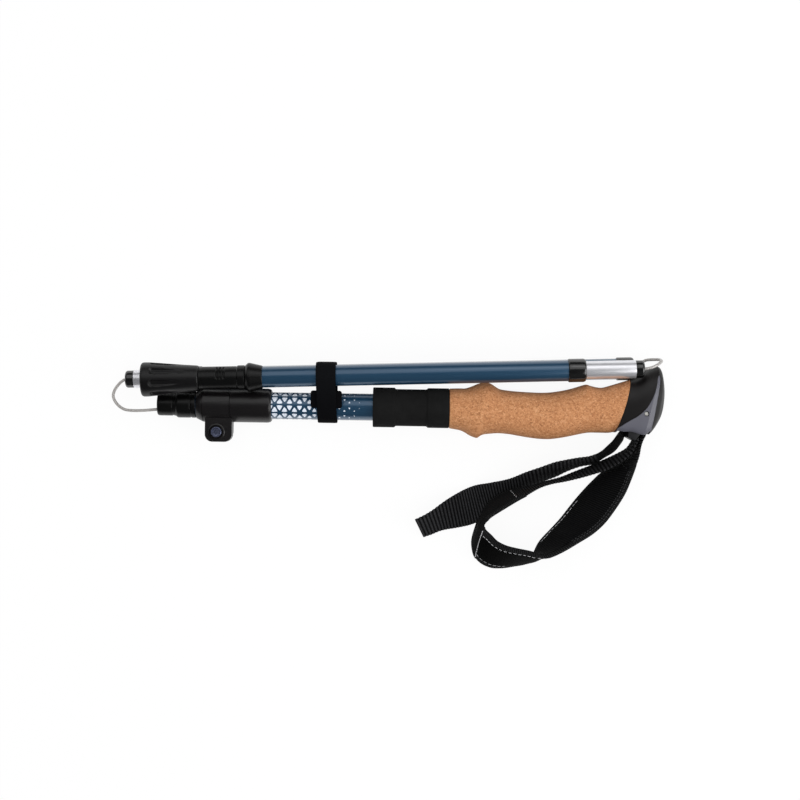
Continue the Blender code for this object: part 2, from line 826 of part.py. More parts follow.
def clamp_pin():
    py, pz = LEVER_PIN
    pin = rod(
        "clamp_pin",
        "dark_metal",
        HANDLE,
        [(-128.2, py, pz), (-113.4, py, pz)],
        LEVER_PIN_R,
        16,
    )
    x, y = SCREW
    hole = rod("cut_pin_hole", "dark_metal", HANDLE, [(x, y, -16.0), (x, y, 0.0)], 1.65, 14)
    cut(pin, cutter(hole))


# Section 2, which telescopes in the handle tube
def section_2():
    turned(
        "socket_fitting",
        "black_plastic",
        HANDLE,
        [
            (-161.2, 6.6),
            (-161.2, 6.9),
            (-160.4, 7.45),
            (-158.8, 7.6),
            (-148.6, 7.6),
            (-148.2, 8.4),
            (-147.6, 8.8),
            (-136.1, 8.8),
            (-135.7, 8.5),
            (-135.7, 8.1),
            (-145.9, 8.1),
            (-145.9, 7.2),
            (-117.5, 7.2),
            (-117.5, 6.2),
            (-160.8, 6.2),
        ],
    )
    turned(
        "section_2_tube",
        "blue_metal",
        HANDLE,
        [
            (-145.6, SECTION_2_BORE),
            (-145.6, SECTION_2_R),
            (128.0, SECTION_2_R),
            (128.0, SECTION_2_BORE),
        ],
    )
    turned(
        "upper_bushing",
        "black_plastic",
        HANDLE,
        [
            (117.0, 5.4),
            (117.0, 7.15),
            (128.2, 7.15),
            (128.2, 8.22),
            (131.0, 8.22),
            (131.6, 7.8),
            (131.6, 5.4),
        ],
    )
    turned(
        "cord_anchor",
        "black_plastic",
        HANDLE,
        [(-62.0, 1.6), (-62.0, 7.1), (-53.0, 7.1), (-53.0, 1.6)],
    )
    coil = []
    turns = 9
    steps = 12
    for k in range(turns * steps + 1):
        angle = 2 * math.pi * k / steps
        coil.append(
            (-51.6 + 29.0 * k / (turns * steps), 4.6 * math.cos(angle), 4.6 * math.sin(angle))
        )
    rod("tension_spring", "bright_metal", HANDLE, coil, 0.65, 5)
    path = [
        (-136.4, 0.0, 0.0),
        (-21.2, 0.0, 0.0),
        (-21.0, 0.0, 0.0),
        (-14.0, 0.0, 0.0),
        (-13.4, 0.0, 0.0),
    ]
    rod("cord_upper_run", "cord", HANDLE, path, [CORD_R, CORD_R, 6.0, 6.0, 5.2], 10)


def cord_loops():
    middle = smooth_path(
        [
            (-184.9, 16.22, 9.3),
            (-188.4, 13.4, 9.5),
            (-191.6, 8.6, 10.1),
            (-192.1, 4.2, 11.2),
            (-189.4, -0.4, 12.2),
            (-184.6, -3.7, 13.9),
            (-178.7, -4.6, 15.1),
            (-170.6, -4.4, 15.8),
            (-163.0, -3.7, 16.0),
            (-155.0, -2.9, 16.0),
            (-146.0, -0.8, 16.0),
            (-137.0, 0.0, 16.0),
        ],
        2,
    )
    rod("cord_middle_loop", "cord", ROOM, middle, CORD_R, 8)
    lower = smooth_path(
        [
            (161.0, 27.88, 28.6),
            (165.6, 28.9, 28.4),
            (169.0, 30.7, 27.0),
            (171.3, 32.4, 24.1),
            (171.9, 33.5, 20.4),
            (170.6, 33.9, 16.4),
            (167.2, 33.4, 12.8),
            (162.6, 31.3, 10.2),
            (156.8, 28.46, 9.3),
        ],
        2,
    )
    rod("cord_lower_loop", "cord", ROOM, lower, CORD_R, 8)


# Sections 3 and 4, each about its own axis
def collar(name, frame, low, high, lip_low, mat="black_plastic"):
    """A collar over a tube's end. Its lip turns in over the tube's end, on the low side or the high side."""
    profile = [
        (low, LOWER_TUBE_R + 0.06),
        (low, COLLAR_R - 0.35),
        (low + 0.6, COLLAR_R),
        (high - 1.6, COLLAR_R),
        (high - 0.4, COLLAR_R - 0.45),
        (high, COLLAR_R - 1.0),
        (high, FERRULE_R + 0.25),
        (high - 0.8, FERRULE_R + 0.25),
        (high - 0.8, LOWER_TUBE_R + 0.06),
    ]
    if lip_low:
        profile = [(low + high - s, r) for s, r in profile]
    return turned(name, mat, frame, profile)


def ferrule_cap(name, frame, tip, inward):
    """The rounded cap on a ferrule's end. inward is +1 or -1, from the tip to the ferrule."""
    profile = [
        (0.0, 1.6),
        (0.0, 4.4),
        (0.5, 5.3),
        (1.4, CAP_R),
        (5.5, CAP_R),
        (5.5, FERRULE_BORE - 0.15),
        (12.0, FERRULE_BORE - 0.15),
        (12.0, 1.6),
    ]
    turned(name, "black_plastic", frame, [(tip + inward * s, r) for s, r in profile])


def tube(name, frame, low, high, outer, bore, mat):
    turned(name, mat, frame, [(low, bore), (low, outer), (high, outer), (high, bore)])


SECTION_3_TIP = -184.4
SECTION_3_END = 156.3
SECTION_4_TIP = 160.7


def section_3():
    tube("section_3_tube", SECTION_3, -143.8, 155.3, LOWER_TUBE_R, LOWER_TUBE_BORE, "blue_metal")
    collar("section_3_upper_collar", SECTION_3, -144.75, -132.65, True)
    collar("section_3_socket_collar", SECTION_3, 144.88, SECTION_3_END, False)
    tube("section_3_ferrule", SECTION_3, -178.75, -112.0, FERRULE_R, FERRULE_BORE, "bright_metal")
    ferrule_cap("section_3_cap", SECTION_3, SECTION_3_TIP, 1)
    upper = [(-184.0, 0.0, 0.0), (-168.0, 0.0, 0.0), (-160.0, 1.4, 0.0), (24.0, 1.4, 0.0)]
    rod("cord_run_a", "cord", SECTION_3, upper, CORD_R, 8)
    lower = [(156.2, 0.0, 0.0), (150.0, 0.0, 0.0), (142.0, -1.4, 0.0), (-24.0, -1.4, 0.0)]
    rod("cord_run_b", "cord", SECTION_3, lower, CORD_R, 8)


def section_4():
    tube("section_4_tube", SECTION_4, -111.6, 121.2, LOWER_TUBE_R, LOWER_TUBE_BORE, "blue_metal")
    collar("section_4_collar", SECTION_4, 110.47, 122.13, False)
    tube("section_4_ferrule", SECTION_4, 88.0, 155.0, FERRULE_R, FERRULE_BORE, "bright_metal")
    ferrule_cap("section_4_cap", SECTION_4, SECTION_4_TIP, -1)
    turned(
        "tip_body",
        "black_plastic",
        SECTION_4,
        [
            (-147.0, 2.7),
            (-147.0, 4.0),
            (-146.2, 4.5),
            (-133.2, 4.5),
            (-133.2, 7.2),
            (-131.2, 7.2),
            (-130.6, 7.6),
            (-107.4, 7.55),
            (-107.0, 8.05),
            (-102.6, 8.05),
            (-102.2, 7.75),
            (-101.1, 8.7),
            (-100.3, 9.4),
            (-98.8, 9.5),
            (-91.2, 7.6),
            (-90.8, 7.3),
            (-90.8, 7.08),
            (-111.9, 7.08),
            (-111.9, 6.0),
            (-116.0, 6.0),
            (-116.0, 2.7),
        ],
    )
    turned(
        "steel_tip",
        "bright_metal",
        SECTION_4,
        [
            (-162.6, 1.2),
            (-162.0, 1.7),
            (-158.0, 1.9),
            (-155.0, 2.9),
            (-147.3, 3.4),
            (-147.3, 2.55),
            (-117.0, 2.55),
        ],
        16,
        hollow=False,
    )
    turned(
        "rubber_foot",
        "black_rubber",
        SECTION_4,
        [
            (-170.4, 10.0),
            (-169.8, 11.0),
            (-168.4, 11.3),
            (-165.2, 11.25),
            (-158.0, 10.6),
            (-150.0, 9.85),
            (-142.0, 9.15),
            (-135.4, 8.6),
            (-134.0, 8.4),
            (-133.5, 7.8),
            (-133.5, 4.8),
            (-148.6, 4.8),
            (-149.4, 3.7),
            (-164.6, 3.7),
        ],
        32,
        hollow=False,
    )
    path = [(160.4, 0.0, 0.0), (-76.0, 0.0, 0.0), (-76.3, 0.0, 0.0), (-84.0, 0.0, 0.0), (-84.8, 0.0, 0.0)]
    radii = [CORD_R, CORD_R, 4.6, 4.6, 3.8]
    rod("cord_lower_run", "cord", SECTION_4, path, radii, 10)


handle_tube()
lower_sleeve()
cork_grip()
grip_head()
pin_shape("strap_pin", STRAP_PIN_R, -14.7, 14.7)
strap_wedge()
wrist_strap()
keeper()
clamp_sleeve()
clamp_band()
clamp_screw()
clamp_lever()
clamp_pin()
section_2()
cord_loops()
section_3()
section_4()
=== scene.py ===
# %% [markdown]
# # A folding trekking pole, folded flat
#
# The pole is a handle with a cork grip and a wrist strap, three aluminium sections that lie beside
# each other, a lever clamp that locks the telescoping section, and a rubber foot. A coated steel
# cable runs through the sections and shows as a loop at each fold.
#
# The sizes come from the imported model. This lesson dresses it: every visible part is modelled again
# with smooth curves and small edges, and gets its own material.

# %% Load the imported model
import math

import bmesh
import bpy
from mathutils import Matrix, Vector


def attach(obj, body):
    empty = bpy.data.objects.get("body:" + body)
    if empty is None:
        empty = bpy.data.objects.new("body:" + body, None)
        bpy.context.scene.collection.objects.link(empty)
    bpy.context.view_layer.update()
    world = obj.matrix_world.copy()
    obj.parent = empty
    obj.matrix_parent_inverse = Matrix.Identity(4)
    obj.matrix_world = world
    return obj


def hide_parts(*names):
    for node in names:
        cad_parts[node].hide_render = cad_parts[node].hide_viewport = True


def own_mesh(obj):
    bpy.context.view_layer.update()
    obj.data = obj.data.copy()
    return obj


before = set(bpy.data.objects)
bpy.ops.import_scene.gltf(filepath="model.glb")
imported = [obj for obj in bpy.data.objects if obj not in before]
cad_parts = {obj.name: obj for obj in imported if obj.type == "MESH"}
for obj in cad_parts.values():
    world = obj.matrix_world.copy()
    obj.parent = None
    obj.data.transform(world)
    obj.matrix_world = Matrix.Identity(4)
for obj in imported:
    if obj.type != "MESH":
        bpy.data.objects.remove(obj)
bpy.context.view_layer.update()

# %% [markdown]
# ## Three axes
#
# A folding pole is three tubes side by side. Each part is turned or drawn about its own tube's axis,
# in millimetres, and one matrix then puts it in its place in metres. It is easier to read 9.0 for a
# tube's radius than to find that number again inside a rotated frame.

# %% The axes, in millimetres
MM = 0.001
CENTRE_X = -8.6
CENTRE_Y = -35.9
HANDLE_Z = 16.0
SECTION_3_Y, SECTION_3_Z = 22.85, 9.3
SECTION_4_Y, SECTION_4_Z = 22.12, 28.6
SPLAY = math.radians(2.05)


def axis_at(y, z, turn=0.0):
    """The matrix from millimetres about a tube's own axis to metres on the table."""
    on_table = Matrix.Scale(MM, 4) @ Matrix.Translation((-CENTRE_X, -CENTRE_Y, 0.0))
    return on_table @ Matrix.Translation((0.0, y, z)) @ Matrix.Rotation(turn, 4, "Z")


ON_TABLE = axis_at(0.0, 0.0)
HANDLE = axis_at(0.0, HANDLE_Z)
SECTION_3 = axis_at(SECTION_3_Y, SECTION_3_Z, SPLAY)
SECTION_4 = axis_at(SECTION_4_Y, SECTION_4_Z, SPLAY)
print("handle axis at", [round(x, 4) for x in HANDLE.translation])

# %% [markdown]
# ## The camera
#
# The pole was photographed from straight above, about a metre away. A long lens from that height
# keeps the tubes nearly parallel, and still shows a little more of each end than a flat drawing.

# %% The camera
CAMERA_HEIGHT = 1.050
CAMERA_X = 0.0086
CAMERA_Y = 0.04096
CAMERA_ROLL = math.radians(0.85)
LENS = 69.75

camera_data = bpy.data.cameras.new("camera")
camera_data.lens = LENS
camera_data.sensor_width = 36.0
camera_data.clip_start = 0.01
camera_data.clip_end = 50.0
camera = bpy.data.objects.new("camera", camera_data)
camera.location = (CAMERA_X, CAMERA_Y, CAMERA_HEIGHT)
camera.rotation_euler = (0.0, 0.0, CAMERA_ROLL)
bpy.context.scene.collection.objects.link(camera)
bpy.context.scene.camera = camera
print("camera", round(CAMERA_HEIGHT, 3), "m above the table")

# %% [markdown]
# ## Helpers for shaping
#
# Most of the pole is turned: a profile is drawn beside the axis and spun a full turn, as on a lathe.
# The grip, the straps and the cables aren't round, so they start as a flat grid that is rolled into
# shape. The grid brings its own UV map along and around, which the weave and the cable's strands
# follow later.

# %% Spin a profile
TURN_STEPS = 96


def turned(profile, closed=True, steps=TURN_STEPS):
    """A turned shape about X, from a profile of (along, radius)."""
    work = bmesh.new()
    points = [work.verts.new((along, radius, 0.0)) for along, radius in profile]
    lines = [work.edges.new(pair) for pair in zip(points, points[1:])]
    if closed:
        lines.append(work.edges.new((points[-1], points[0])))
    bmesh.ops.spin(
        work,
        geom=points + lines,
        cent=(0.0, 0.0, 0.0),
        axis=(1.0, 0.0, 0.0),
        angle=2 * math.pi,
        steps=steps,
        use_merge=True,
        use_duplicate=False,
    )
    bmesh.ops.remove_doubles(work, verts=work.verts, dist=1e-5)
    bmesh.ops.recalc_face_normals(work, faces=work.faces)
    return work


# %% Roll a grid
def rolled(along, around, place, unwrap=None):
    """A grid of quads, its points moved to place(i, k) and its UV to unwrap(i, k)."""
    work = bmesh.new()
    uv = work.loops.layers.uv.new("UVMap")
    bmesh.ops.create_grid(work, x_segments=along, y_segments=around, size=0.5, calc_uvs=True)
    for vert in work.verts:
        i = round((vert.co.x + 0.5) * along)
        k = round((vert.co.y + 0.5) * around)
        vert.co = place(i, k)
        if unwrap:
            for loop in vert.link_loops:
                loop[uv].uv = unwrap(i, k)
    bmesh.ops.remove_doubles(work, verts=work.verts, dist=1e-5)
    bmesh.ops.recalc_face_normals(work, faces=work.faces)
    return work


# %% Soften the sharp edges
SHARP_ANGLE = math.radians(25.0)


def soften(work, width, segments=2):
    """Rounds every edge where two faces meet at more than the sharp angle."""
    sharp = [
        edge
        for edge in work.edges
        if len(edge.link_faces) == 2 and edge.calc_face_angle(0.0) > SHARP_ANGLE
    ]
    bmesh.ops.bevel(
        work,
        geom=sharp,
        offset=width,
        offset_type="OFFSET",
        segments=segments,
        profile=0.5,
        affect="EDGES",
        clamp_overlap=True,
        material=-1,
    )
    return work


# %% Draw an outline and give it height
def raised(outline, low, high, turn=None):
    """An outline in XY, extruded from low to high along Z, and then turned."""
    work = bmesh.new()
    face = work.faces.new([work.verts.new((x, y, low)) for x, y in outline])
    grown = bmesh.ops.extrude_face_region(work, geom=[face])
    lifted = [item for item in grown["geom"] if isinstance(item, bmesh.types.BMVert)]
    bmesh.ops.translate(work, verts=lifted, vec=(0.0, 0.0, high - low))
    if turn is not None:
        bmesh.ops.transform(work, matrix=turn, verts=work.verts)
    bmesh.ops.recalc_face_normals(work, faces=work.faces)
    return work


def barrel(radius, low, high, steps=TURN_STEPS, axis="Z"):
    """A plain round bar, for a pin or for cutting a hole."""
    work = bmesh.new()
    bmesh.ops.create_cone(
        work,
        cap_ends=True,
        segments=steps,
        radius1=radius,
        radius2=radius,
        depth=high - low,
        matrix=Matrix.Translation((0.0, 0.0, (low + high) / 2)),
    )
    if axis == "X":
        bmesh.ops.rotate(work, verts=work.verts, matrix=Matrix.Rotation(math.pi / 2, 3, "Y"))
    return work


# %% Cut one shape with another
def as_object(name, work):
    """An object, still in millimetres, from a bmesh."""
    mesh = bpy.data.meshes.new(name)
    work.to_mesh(mesh)
    work.free()
    made = bpy.data.objects.new(name, mesh)
    bpy.context.scene.collection.objects.link(made)
    return made


def settle(made):
    """Applies the object's modifiers to its mesh."""
    graph = bpy.context.evaluated_depsgraph_get()
    graph.update()
    mesh = bpy.data.meshes.new_from_object(made.evaluated_get(graph))
    made.modifiers.clear()
    made.data = mesh
    return made


def carve(made, tool, operation="DIFFERENCE"):
    """Cuts, joins or intersects with a tool, which is removed afterwards."""
    step = made.modifiers.new("carve", "BOOLEAN")
    step.operation = operation
    step.solver = "EXACT"
    step.object = tool
    bpy.context.view_layer.update()
    settle(made)
    bpy.data.objects.remove(tool)
    return made


CARVED_ANGLE = math.radians(35.0)


def round_over(made, width):
    """Rounds the edges of a carved shape."""
    step = made.modifiers.new("round", "BEVEL")
    step.width = width
    step.segments = 3
    step.limit_method = "ANGLE"
    step.angle_limit = CARVED_ANGLE
    step.use_clamp_overlap = True
    bpy.context.view_layer.update()
    return settle(made)


# %% Put a finished piece in its place
def finish_piece(made, axis, material, body, nodes, sharp=38.0):
    """Moves the piece to its axis, gives it its material, and lets it ride with its body."""
    made.data.transform(axis)
    made.data.materials.clear()
    made.data.materials.append(material)
    made.data.polygons.foreach_set("use_smooth", [True] * len(made.data.polygons))
    made.data.set_sharp_from_angle(angle=math.radians(sharp))
    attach(made, body)
    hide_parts(*nodes)
    print(f"{made.name}: {len(made.data.polygons)} faces on {body}")
    return made


# %% Smooth lines through a few points
def curve_point(a, b, c, d, t):
    """The place on a Catmull-Rom curve at the share t of the way from b to c."""
    straight = 2 * b + (c - a) * t
    turning = (2 * a - 5 * b + 4 * c - d) * t * t
    easing = (3 * b - a - 3 * c + d) * t * t * t
    return 0.5 * (straight + turning + easing)


def smooth_points(points, step):
    """A smooth line through points, with a point about every step millimetres."""
    ends = [2 * points[0] - points[1]] + list(points) + [2 * points[-1] - points[-2]]
    line = []
    for i in range(1, len(ends) - 2):
        a, b, c, d = ends[i - 1 : i + 3]
        count = max(1, math.ceil((c - b).length / step))
        line.extend(curve_point(a, b, c, d, k / count) for k in range(count))
    line.append(points[-1].copy())
    return line


def length_of(line):
    return sum((b - a).length for a, b in zip(line, line[1:]))


def smooth_step(low, high, value):
    """0 below low, 1 above high, with an S curve between them."""
    share = min(max((value - low) / (high - low), 0.0), 1.0)
    return share * share * (3 - 2 * share)


# %% [markdown]
# ## Helpers for materials
#
# Each finish is a Principled BSDF with a few texture nodes in front of it. Effects that several
# finishes share, such as fine grain, are node groups: built once, then placed with other numbers.

# %% Nodes and links
def add_node(tree, kind, values=(), **settings):
    """A node with its settings and the values of its sockets."""
    made = tree.nodes.new(kind)
    for name, value in settings.items():
        setattr(made, name, value)
    for socket, value in dict(values).items():
        made.inputs[socket].default_value = value
    return made


def calculate(tree, operation, a, b=None, c=None, clamp=False):
    """A Math node. Each of a, b and c is a number or another node's socket."""
    made = add_node(tree, "ShaderNodeMath", operation=operation, use_clamp=clamp)
    for place, value in enumerate((a, b, c)):
        if value is None:
            continue
        if isinstance(value, (int, float)):
            made.inputs[place].default_value = value
        else:
            tree.links.new(value, made.inputs[place])
    return made.outputs[0]


def blend_colours(tree, share, first, second):
    """A colour between two others. Each is a colour or a socket, and so is share."""
    made = add_node(tree, "ShaderNodeMix", data_type="RGBA")
    for place, value in ((0, share), (6, first), (7, second)):
        if isinstance(value, bpy.types.NodeSocket):
            tree.links.new(value, made.inputs[place])
        elif place == 0:
            made.inputs[place].default_value = value
        else:
            made.inputs[place].default_value = (*value, 1.0)
    return made.outputs[2]


def colour(red, green, blue):
    """A linear colour from the 0 to 255 numbers of a colour picker."""
    linear = []
    for value in (red, green, blue):
        share = value / 255
        linear.append(share / 12.92 if share <= 0.04045 else ((share + 0.055) / 1.055) ** 2.4)
    return tuple(linear)


def new_material(name, base, roughness, metallic=0.0, **sockets):
    """A material and its shader."""
    made = bpy.data.materials.new(name)
    made.use_nodes = True
    shader = made.node_tree.nodes["Principled BSDF"]
    shader.inputs["Base Color"].default_value = (*base, 1.0)
    shader.inputs["Roughness"].default_value = roughness
    shader.inputs["Metallic"].default_value = metallic
    for socket, value in sockets.items():
        shader.inputs[socket.replace("_", " ")].default_value = value
    return made, made.node_tree, shader


def tint(tree, shader, share, first, second):
    """Gives the shader a base colour between two others, and returns its socket."""
    mixed = blend_colours(tree, share, first, second)
    tree.links.new(mixed, shader.inputs["Base Color"])
    return mixed


def add_bump(tree, shader, height, strength, distance):
    """A bump from a height between 0 and 1, which stands for this distance in metres."""
    bump = add_node(tree, "ShaderNodeBump", {"Strength": strength, "Distance": distance})
    tree.links.new(height, bump.inputs["Height"])
    tree.links.new(bump.outputs["Normal"], shader.inputs["Normal"])


def object_place(tree):
    """The place in the object's own coordinates."""
    return add_node(tree, "ShaderNodeTexCoord").outputs["Object"]


# %% [markdown]
# ### Fine grain
#
# Moulded plastic, rubber and anodised metal are never perfectly even. A noise texture at the scale
# of tenths of a millimetre gives two things at once: a shade that moves the colour and the gloss a
# little, and a height that breaks up the highlights.

# %% The grain group
def new_group(name, inputs, outputs):
    """An empty node group. inputs and outputs list (name, socket kind, default)."""
    tree = bpy.data.node_groups.new(name, "ShaderNodeTree")
    for title, kind, default in inputs:
        socket = tree.interface.new_socket(title, in_out="INPUT", socket_type=kind)
        if default is not None:
            socket.default_value = default
    for title, kind in outputs:
        tree.interface.new_socket(title, in_out="OUTPUT", socket_type=kind)
    start = tree.nodes.new("NodeGroupInput")
    end = tree.nodes.new("NodeGroupOutput")
    return tree, start, end


FLOAT = "NodeSocketFloat"
VECTOR = "NodeSocketVector"
COARSE_SHARE = 0.22

grain_group, start, end = new_group(
    "fine grain",
    [("Vector", VECTOR, None), ("Scale", FLOAT, 1500.0), ("Stretch", VECTOR, (1.0, 1.0, 1.0))],
    [("Shade", FLOAT), ("Height", FLOAT)],
)
stretch = add_node(grain_group, "ShaderNodeVectorMath", operation="MULTIPLY")
grain_group.links.new(start.outputs["Vector"], stretch.inputs[0])
grain_group.links.new(start.outputs["Stretch"], stretch.inputs[1])
coarse = add_node(grain_group, "ShaderNodeTexNoise", {"Detail": 3.0, "Roughness": 0.6})
fine = add_node(grain_group, "ShaderNodeTexNoise", {"Detail": 2.0, "Roughness": 0.5})
grain_group.links.new(stretch.outputs[0], coarse.inputs["Vector"])
grain_group.links.new(stretch.outputs[0], fine.inputs["Vector"])
grain_group.links.new(start.outputs["Scale"], fine.inputs["Scale"])
coarse_scale = calculate(grain_group, "MULTIPLY", start.outputs["Scale"], COARSE_SHARE)
grain_group.links.new(coarse_scale, coarse.inputs["Scale"])
grain_group.links.new(coarse.outputs["Fac"], end.inputs["Shade"])
grain_group.links.new(fine.outputs["Fac"], end.inputs["Height"])


def add_grain(tree, shader, scale, height, spread, stretch=(1.0, 1.0, 1.0)):
    """Grain on a material: a bump of this height in metres, and a spread of roughness."""
    grain = add_node(tree, "ShaderNodeGroup", node_tree=grain_group)
    grain.inputs["Scale"].default_value = scale
    grain.inputs["Stretch"].default_value = stretch
    tree.links.new(object_place(tree), grain.inputs["Vector"])
    add_bump(tree, shader, grain.outputs["Height"], 1.0, height)
    least = shader.inputs["Roughness"].default_value - spread
    rough = calculate(tree, "MULTIPLY_ADD", grain.outputs["Shade"], 2 * spread, least)
    tree.links.new(rough, shader.inputs["Roughness"])
    return grain


# %% [markdown]
# ## Finishes for metal
#
# The tubes are aluminium, dyed blue in an anodising bath. The dye sits in a thin layer of oxide, so
# only a part of the light comes back from the metal, in blue, and the sealed skin above it mirrors
# the lamps in white. The ferrules are the same aluminium left bright and finely brushed.

# %% Blue anodised aluminium
TUBE_BLUE = colour(28, 71, 101)
METAL_SHARE = 0.5


def anodised(name):
    """The dyed finish: a tinted metal under the clear skin of its oxide."""
    made, tree, shader = new_material(
        name,
        TUBE_BLUE,
        0.35,
        METAL_SHARE,
        Coat_Weight=1.0,
        Coat_IOR=1.58,
        Coat_Roughness=0.22,
    )
    grain = add_grain(tree, shader, 2600.0, 0.0000008, 0.03, stretch=(0.04, 1.0, 1.0))
    dyed = tint(tree, shader, grain.outputs["Shade"], colour(25, 67, 96), colour(31, 75, 106))
    return made, tree, shader, dyed


anodised_blue, *_ = anodised("anodised_blue")
print("blue tube", [round(x, 3) for x in TUBE_BLUE])

# %% Bright aluminium
polished_aluminium, tree, shader = new_material(
    "polished_aluminium", colour(237, 237, 241), 0.34, 0.8
)
grain = add_grain(tree, shader, 3000.0, 0.0000012, 0.04, stretch=(0.05, 1.0, 1.0))
tint(tree, shader, grain.outputs["Shade"], colour(231, 231, 236), colour(243, 243, 247))

# %% Steel, plain and darkened
steel, tree, shader = new_material("steel", colour(205, 206, 210), 0.22, 1.0)
add_grain(tree, shader, 2400.0, 0.0000012, 0.06)

pale_steel, tree, shader = new_material("steel_satin", colour(214, 212, 206), 0.4, 0.6)
add_grain(tree, shader, 2400.0, 0.0000012, 0.06)

dark_steel, tree, shader = new_material("dark_steel", colour(106, 112, 138), 0.27, 0.85)
grain = add_grain(tree, shader, 1800.0, 0.000002, 0.06)
tint(tree, shader, grain.outputs["Shade"], colour(92, 98, 121), colour(121, 127, 153))

# %% [markdown]
# ## The printed pattern on the handle tube
#
# White ink covers the tube in triangles, the oldest of tilings: three families of lines at sixty
# degrees to each other. Towards the grip each triangle shrinks about its own centre until only dots
# are left. In the shader, three coordinates across the three families say how far a point is from
# the nearest line of each, and a point is white where it is far enough from all three. The product of
# the three is added to their minimum, which rounds the corners, and the smallest marks the most. The
# pattern is wrapped by turning a point's height and width into its angle about the tube's axis.

# %% The lattice group
LATTICE_SIDE = 6.6
TUBE_R = 9.0
LATTICE_ROWS = 10
ROW_HEIGHT = 2 * math.pi * TUBE_R / LATTICE_ROWS
HUB_ALONG = -63.1
HUB_ANGLE = math.radians(6.0)
INK_EDGE = 12.0

lattice, start, end = new_group(
    "triangle lattice",
    [("Along", FLOAT, 0.0), ("Turn", FLOAT, 0.0), ("Size", FLOAT, 0.7)],
    [("Ink", FLOAT)],
)
rows = calculate(lattice, "MULTIPLY", start.outputs["Turn"], float(LATTICE_ROWS))
cells = calculate(lattice, "DIVIDE", start.outputs["Along"], LATTICE_SIDE)
half_rows = calculate(lattice, "MULTIPLY", rows, 0.5)
rising = calculate(lattice, "SUBTRACT", cells, half_rows)
falling = calculate(lattice, "ADD", cells, half_rows)
falling = calculate(lattice, "MULTIPLY", falling, -1.0)
parts = []
for line in (rows, rising, falling):
    floored = calculate(lattice, "FLOOR", line)
    parts.append(calculate(lattice, "SUBTRACT", line, floored))
both = calculate(lattice, "ADD", parts[0], parts[1])
total = calculate(lattice, "ADD", both, parts[2])
upside = calculate(lattice, "GREATER_THAN", total, 1.5)
gaps = []
for part in parts:
    flipped = calculate(lattice, "SUBTRACT", 1.0, part)
    far = calculate(lattice, "MULTIPLY", flipped, upside)
    upright = calculate(lattice, "SUBTRACT", 1.0, upside)
    near = calculate(lattice, "MULTIPLY", part, upright)
    gaps.append(calculate(lattice, "MULTIPLY", calculate(lattice, "ADD", far, near), 3.0))
nearest = calculate(lattice, "MINIMUM", calculate(lattice, "MINIMUM", gaps[0], gaps[1]), gaps[2])
product = calculate(lattice, "MULTIPLY", calculate(lattice, "MULTIPLY", gaps[0], gaps[1]), gaps[2])
shrunk = calculate(lattice, "SUBTRACT", 1.0, start.outputs["Size"])
longer = calculate(lattice, "ADD", start.outputs["Size"], 2.0)
squared = calculate(lattice, "MULTIPLY", calculate(lattice, "MULTIPLY", longer, longer), 0.25)
round_shrunk = calculate(lattice, "MULTIPLY", shrunk, squared)
sharp_part = calculate(lattice, "SUBTRACT", nearest, shrunk)
round_part = calculate(lattice, "SUBTRACT", product, round_shrunk)
inside = calculate(lattice, "ADD", sharp_part, round_part)
ink = calculate(lattice, "MULTIPLY", inside, INK_EDGE, clamp=True)
lattice.links.new(ink, end.inputs["Ink"])
print("lattice rows", LATTICE_ROWS, "each", round(ROW_HEIGHT, 2), "mm")

# %% The handle tube's finish
PRINT_SIZES = [
    (-88.0, 0.76),
    (-63.3, 0.62),
    (-37.0, 0.27),
    (-33.7, 0.245),
    (-30.3, 0.19),
    (-27.0, 0.12),
    (-24.5, 0.0),
    (-20.0, 0.0),
]

printed_blue, tree, shader, dyed = anodised("anodised_blue_printed")
centred = add_node(tree, "ShaderNodeMapping", {"Location": tuple(-HANDLE.translation)})
tree.links.new(object_place(tree), centred.inputs["Vector"])
split = add_node(tree, "ShaderNodeSeparateXYZ")
tree.links.new(centred.outputs["Vector"], split.inputs["Vector"])
turn = calculate(tree, "ARCTAN2", split.outputs["Y"], split.outputs["Z"])
turn = calculate(tree, "SUBTRACT", turn, HUB_ANGLE)
turn = calculate(tree, "DIVIDE", turn, 2 * math.pi)
along = calculate(tree, "MULTIPLY", split.outputs["X"], 1.0 / MM)
from_hub = calculate(tree, "SUBTRACT", along, HUB_ALONG)
size = add_node(tree, "ShaderNodeFloatCurve")
first_mm, last_mm = PRINT_SIZES[0][0], PRINT_SIZES[-1][0]
reach = calculate(tree, "SUBTRACT", along, first_mm)
reach = calculate(tree, "DIVIDE", reach, last_mm - first_mm, clamp=True)
tree.links.new(reach, size.inputs["Value"])
curve = size.mapping.curves[0]
for k, (at_mm, share) in enumerate(PRINT_SIZES):
    spot = (at_mm - first_mm) / (last_mm - first_mm)
    if k in (0, len(PRINT_SIZES) - 1):
        curve.points[0 if k == 0 else -1].location = (spot, share)
    else:
        curve.points.new(spot, share)
for point in curve.points:
    point.handle_type = "VECTOR"
size.mapping.update()
pattern = add_node(tree, "ShaderNodeGroup", node_tree=lattice)
tree.links.new(from_hub, pattern.inputs["Along"])
tree.links.new(turn, pattern.inputs["Turn"])
tree.links.new(size.outputs["Value"], pattern.inputs["Size"])
tint(tree, shader, pattern.outputs["Ink"], dyed, colour(226, 234, 246))
bare = calculate(tree, "SUBTRACT", 1.0, pattern.outputs["Ink"])
tree.links.new(calculate(tree, "MULTIPLY", bare, METAL_SHARE), shader.inputs["Metallic"])

# %% [markdown]
# ## Finishes for plastic, rubber and foam
#
# Several blacks lie side by side here, and they read apart mostly by their gloss. The clamp is
# glass-filled nylon with a satin skin, the socket fitting and the tip are a deeper black, and the
# collars and caps are polished. The grip head is a little duller than the clamp. The foot is
# rubber, and the lower grip is a closed-cell foam full of tiny pores.

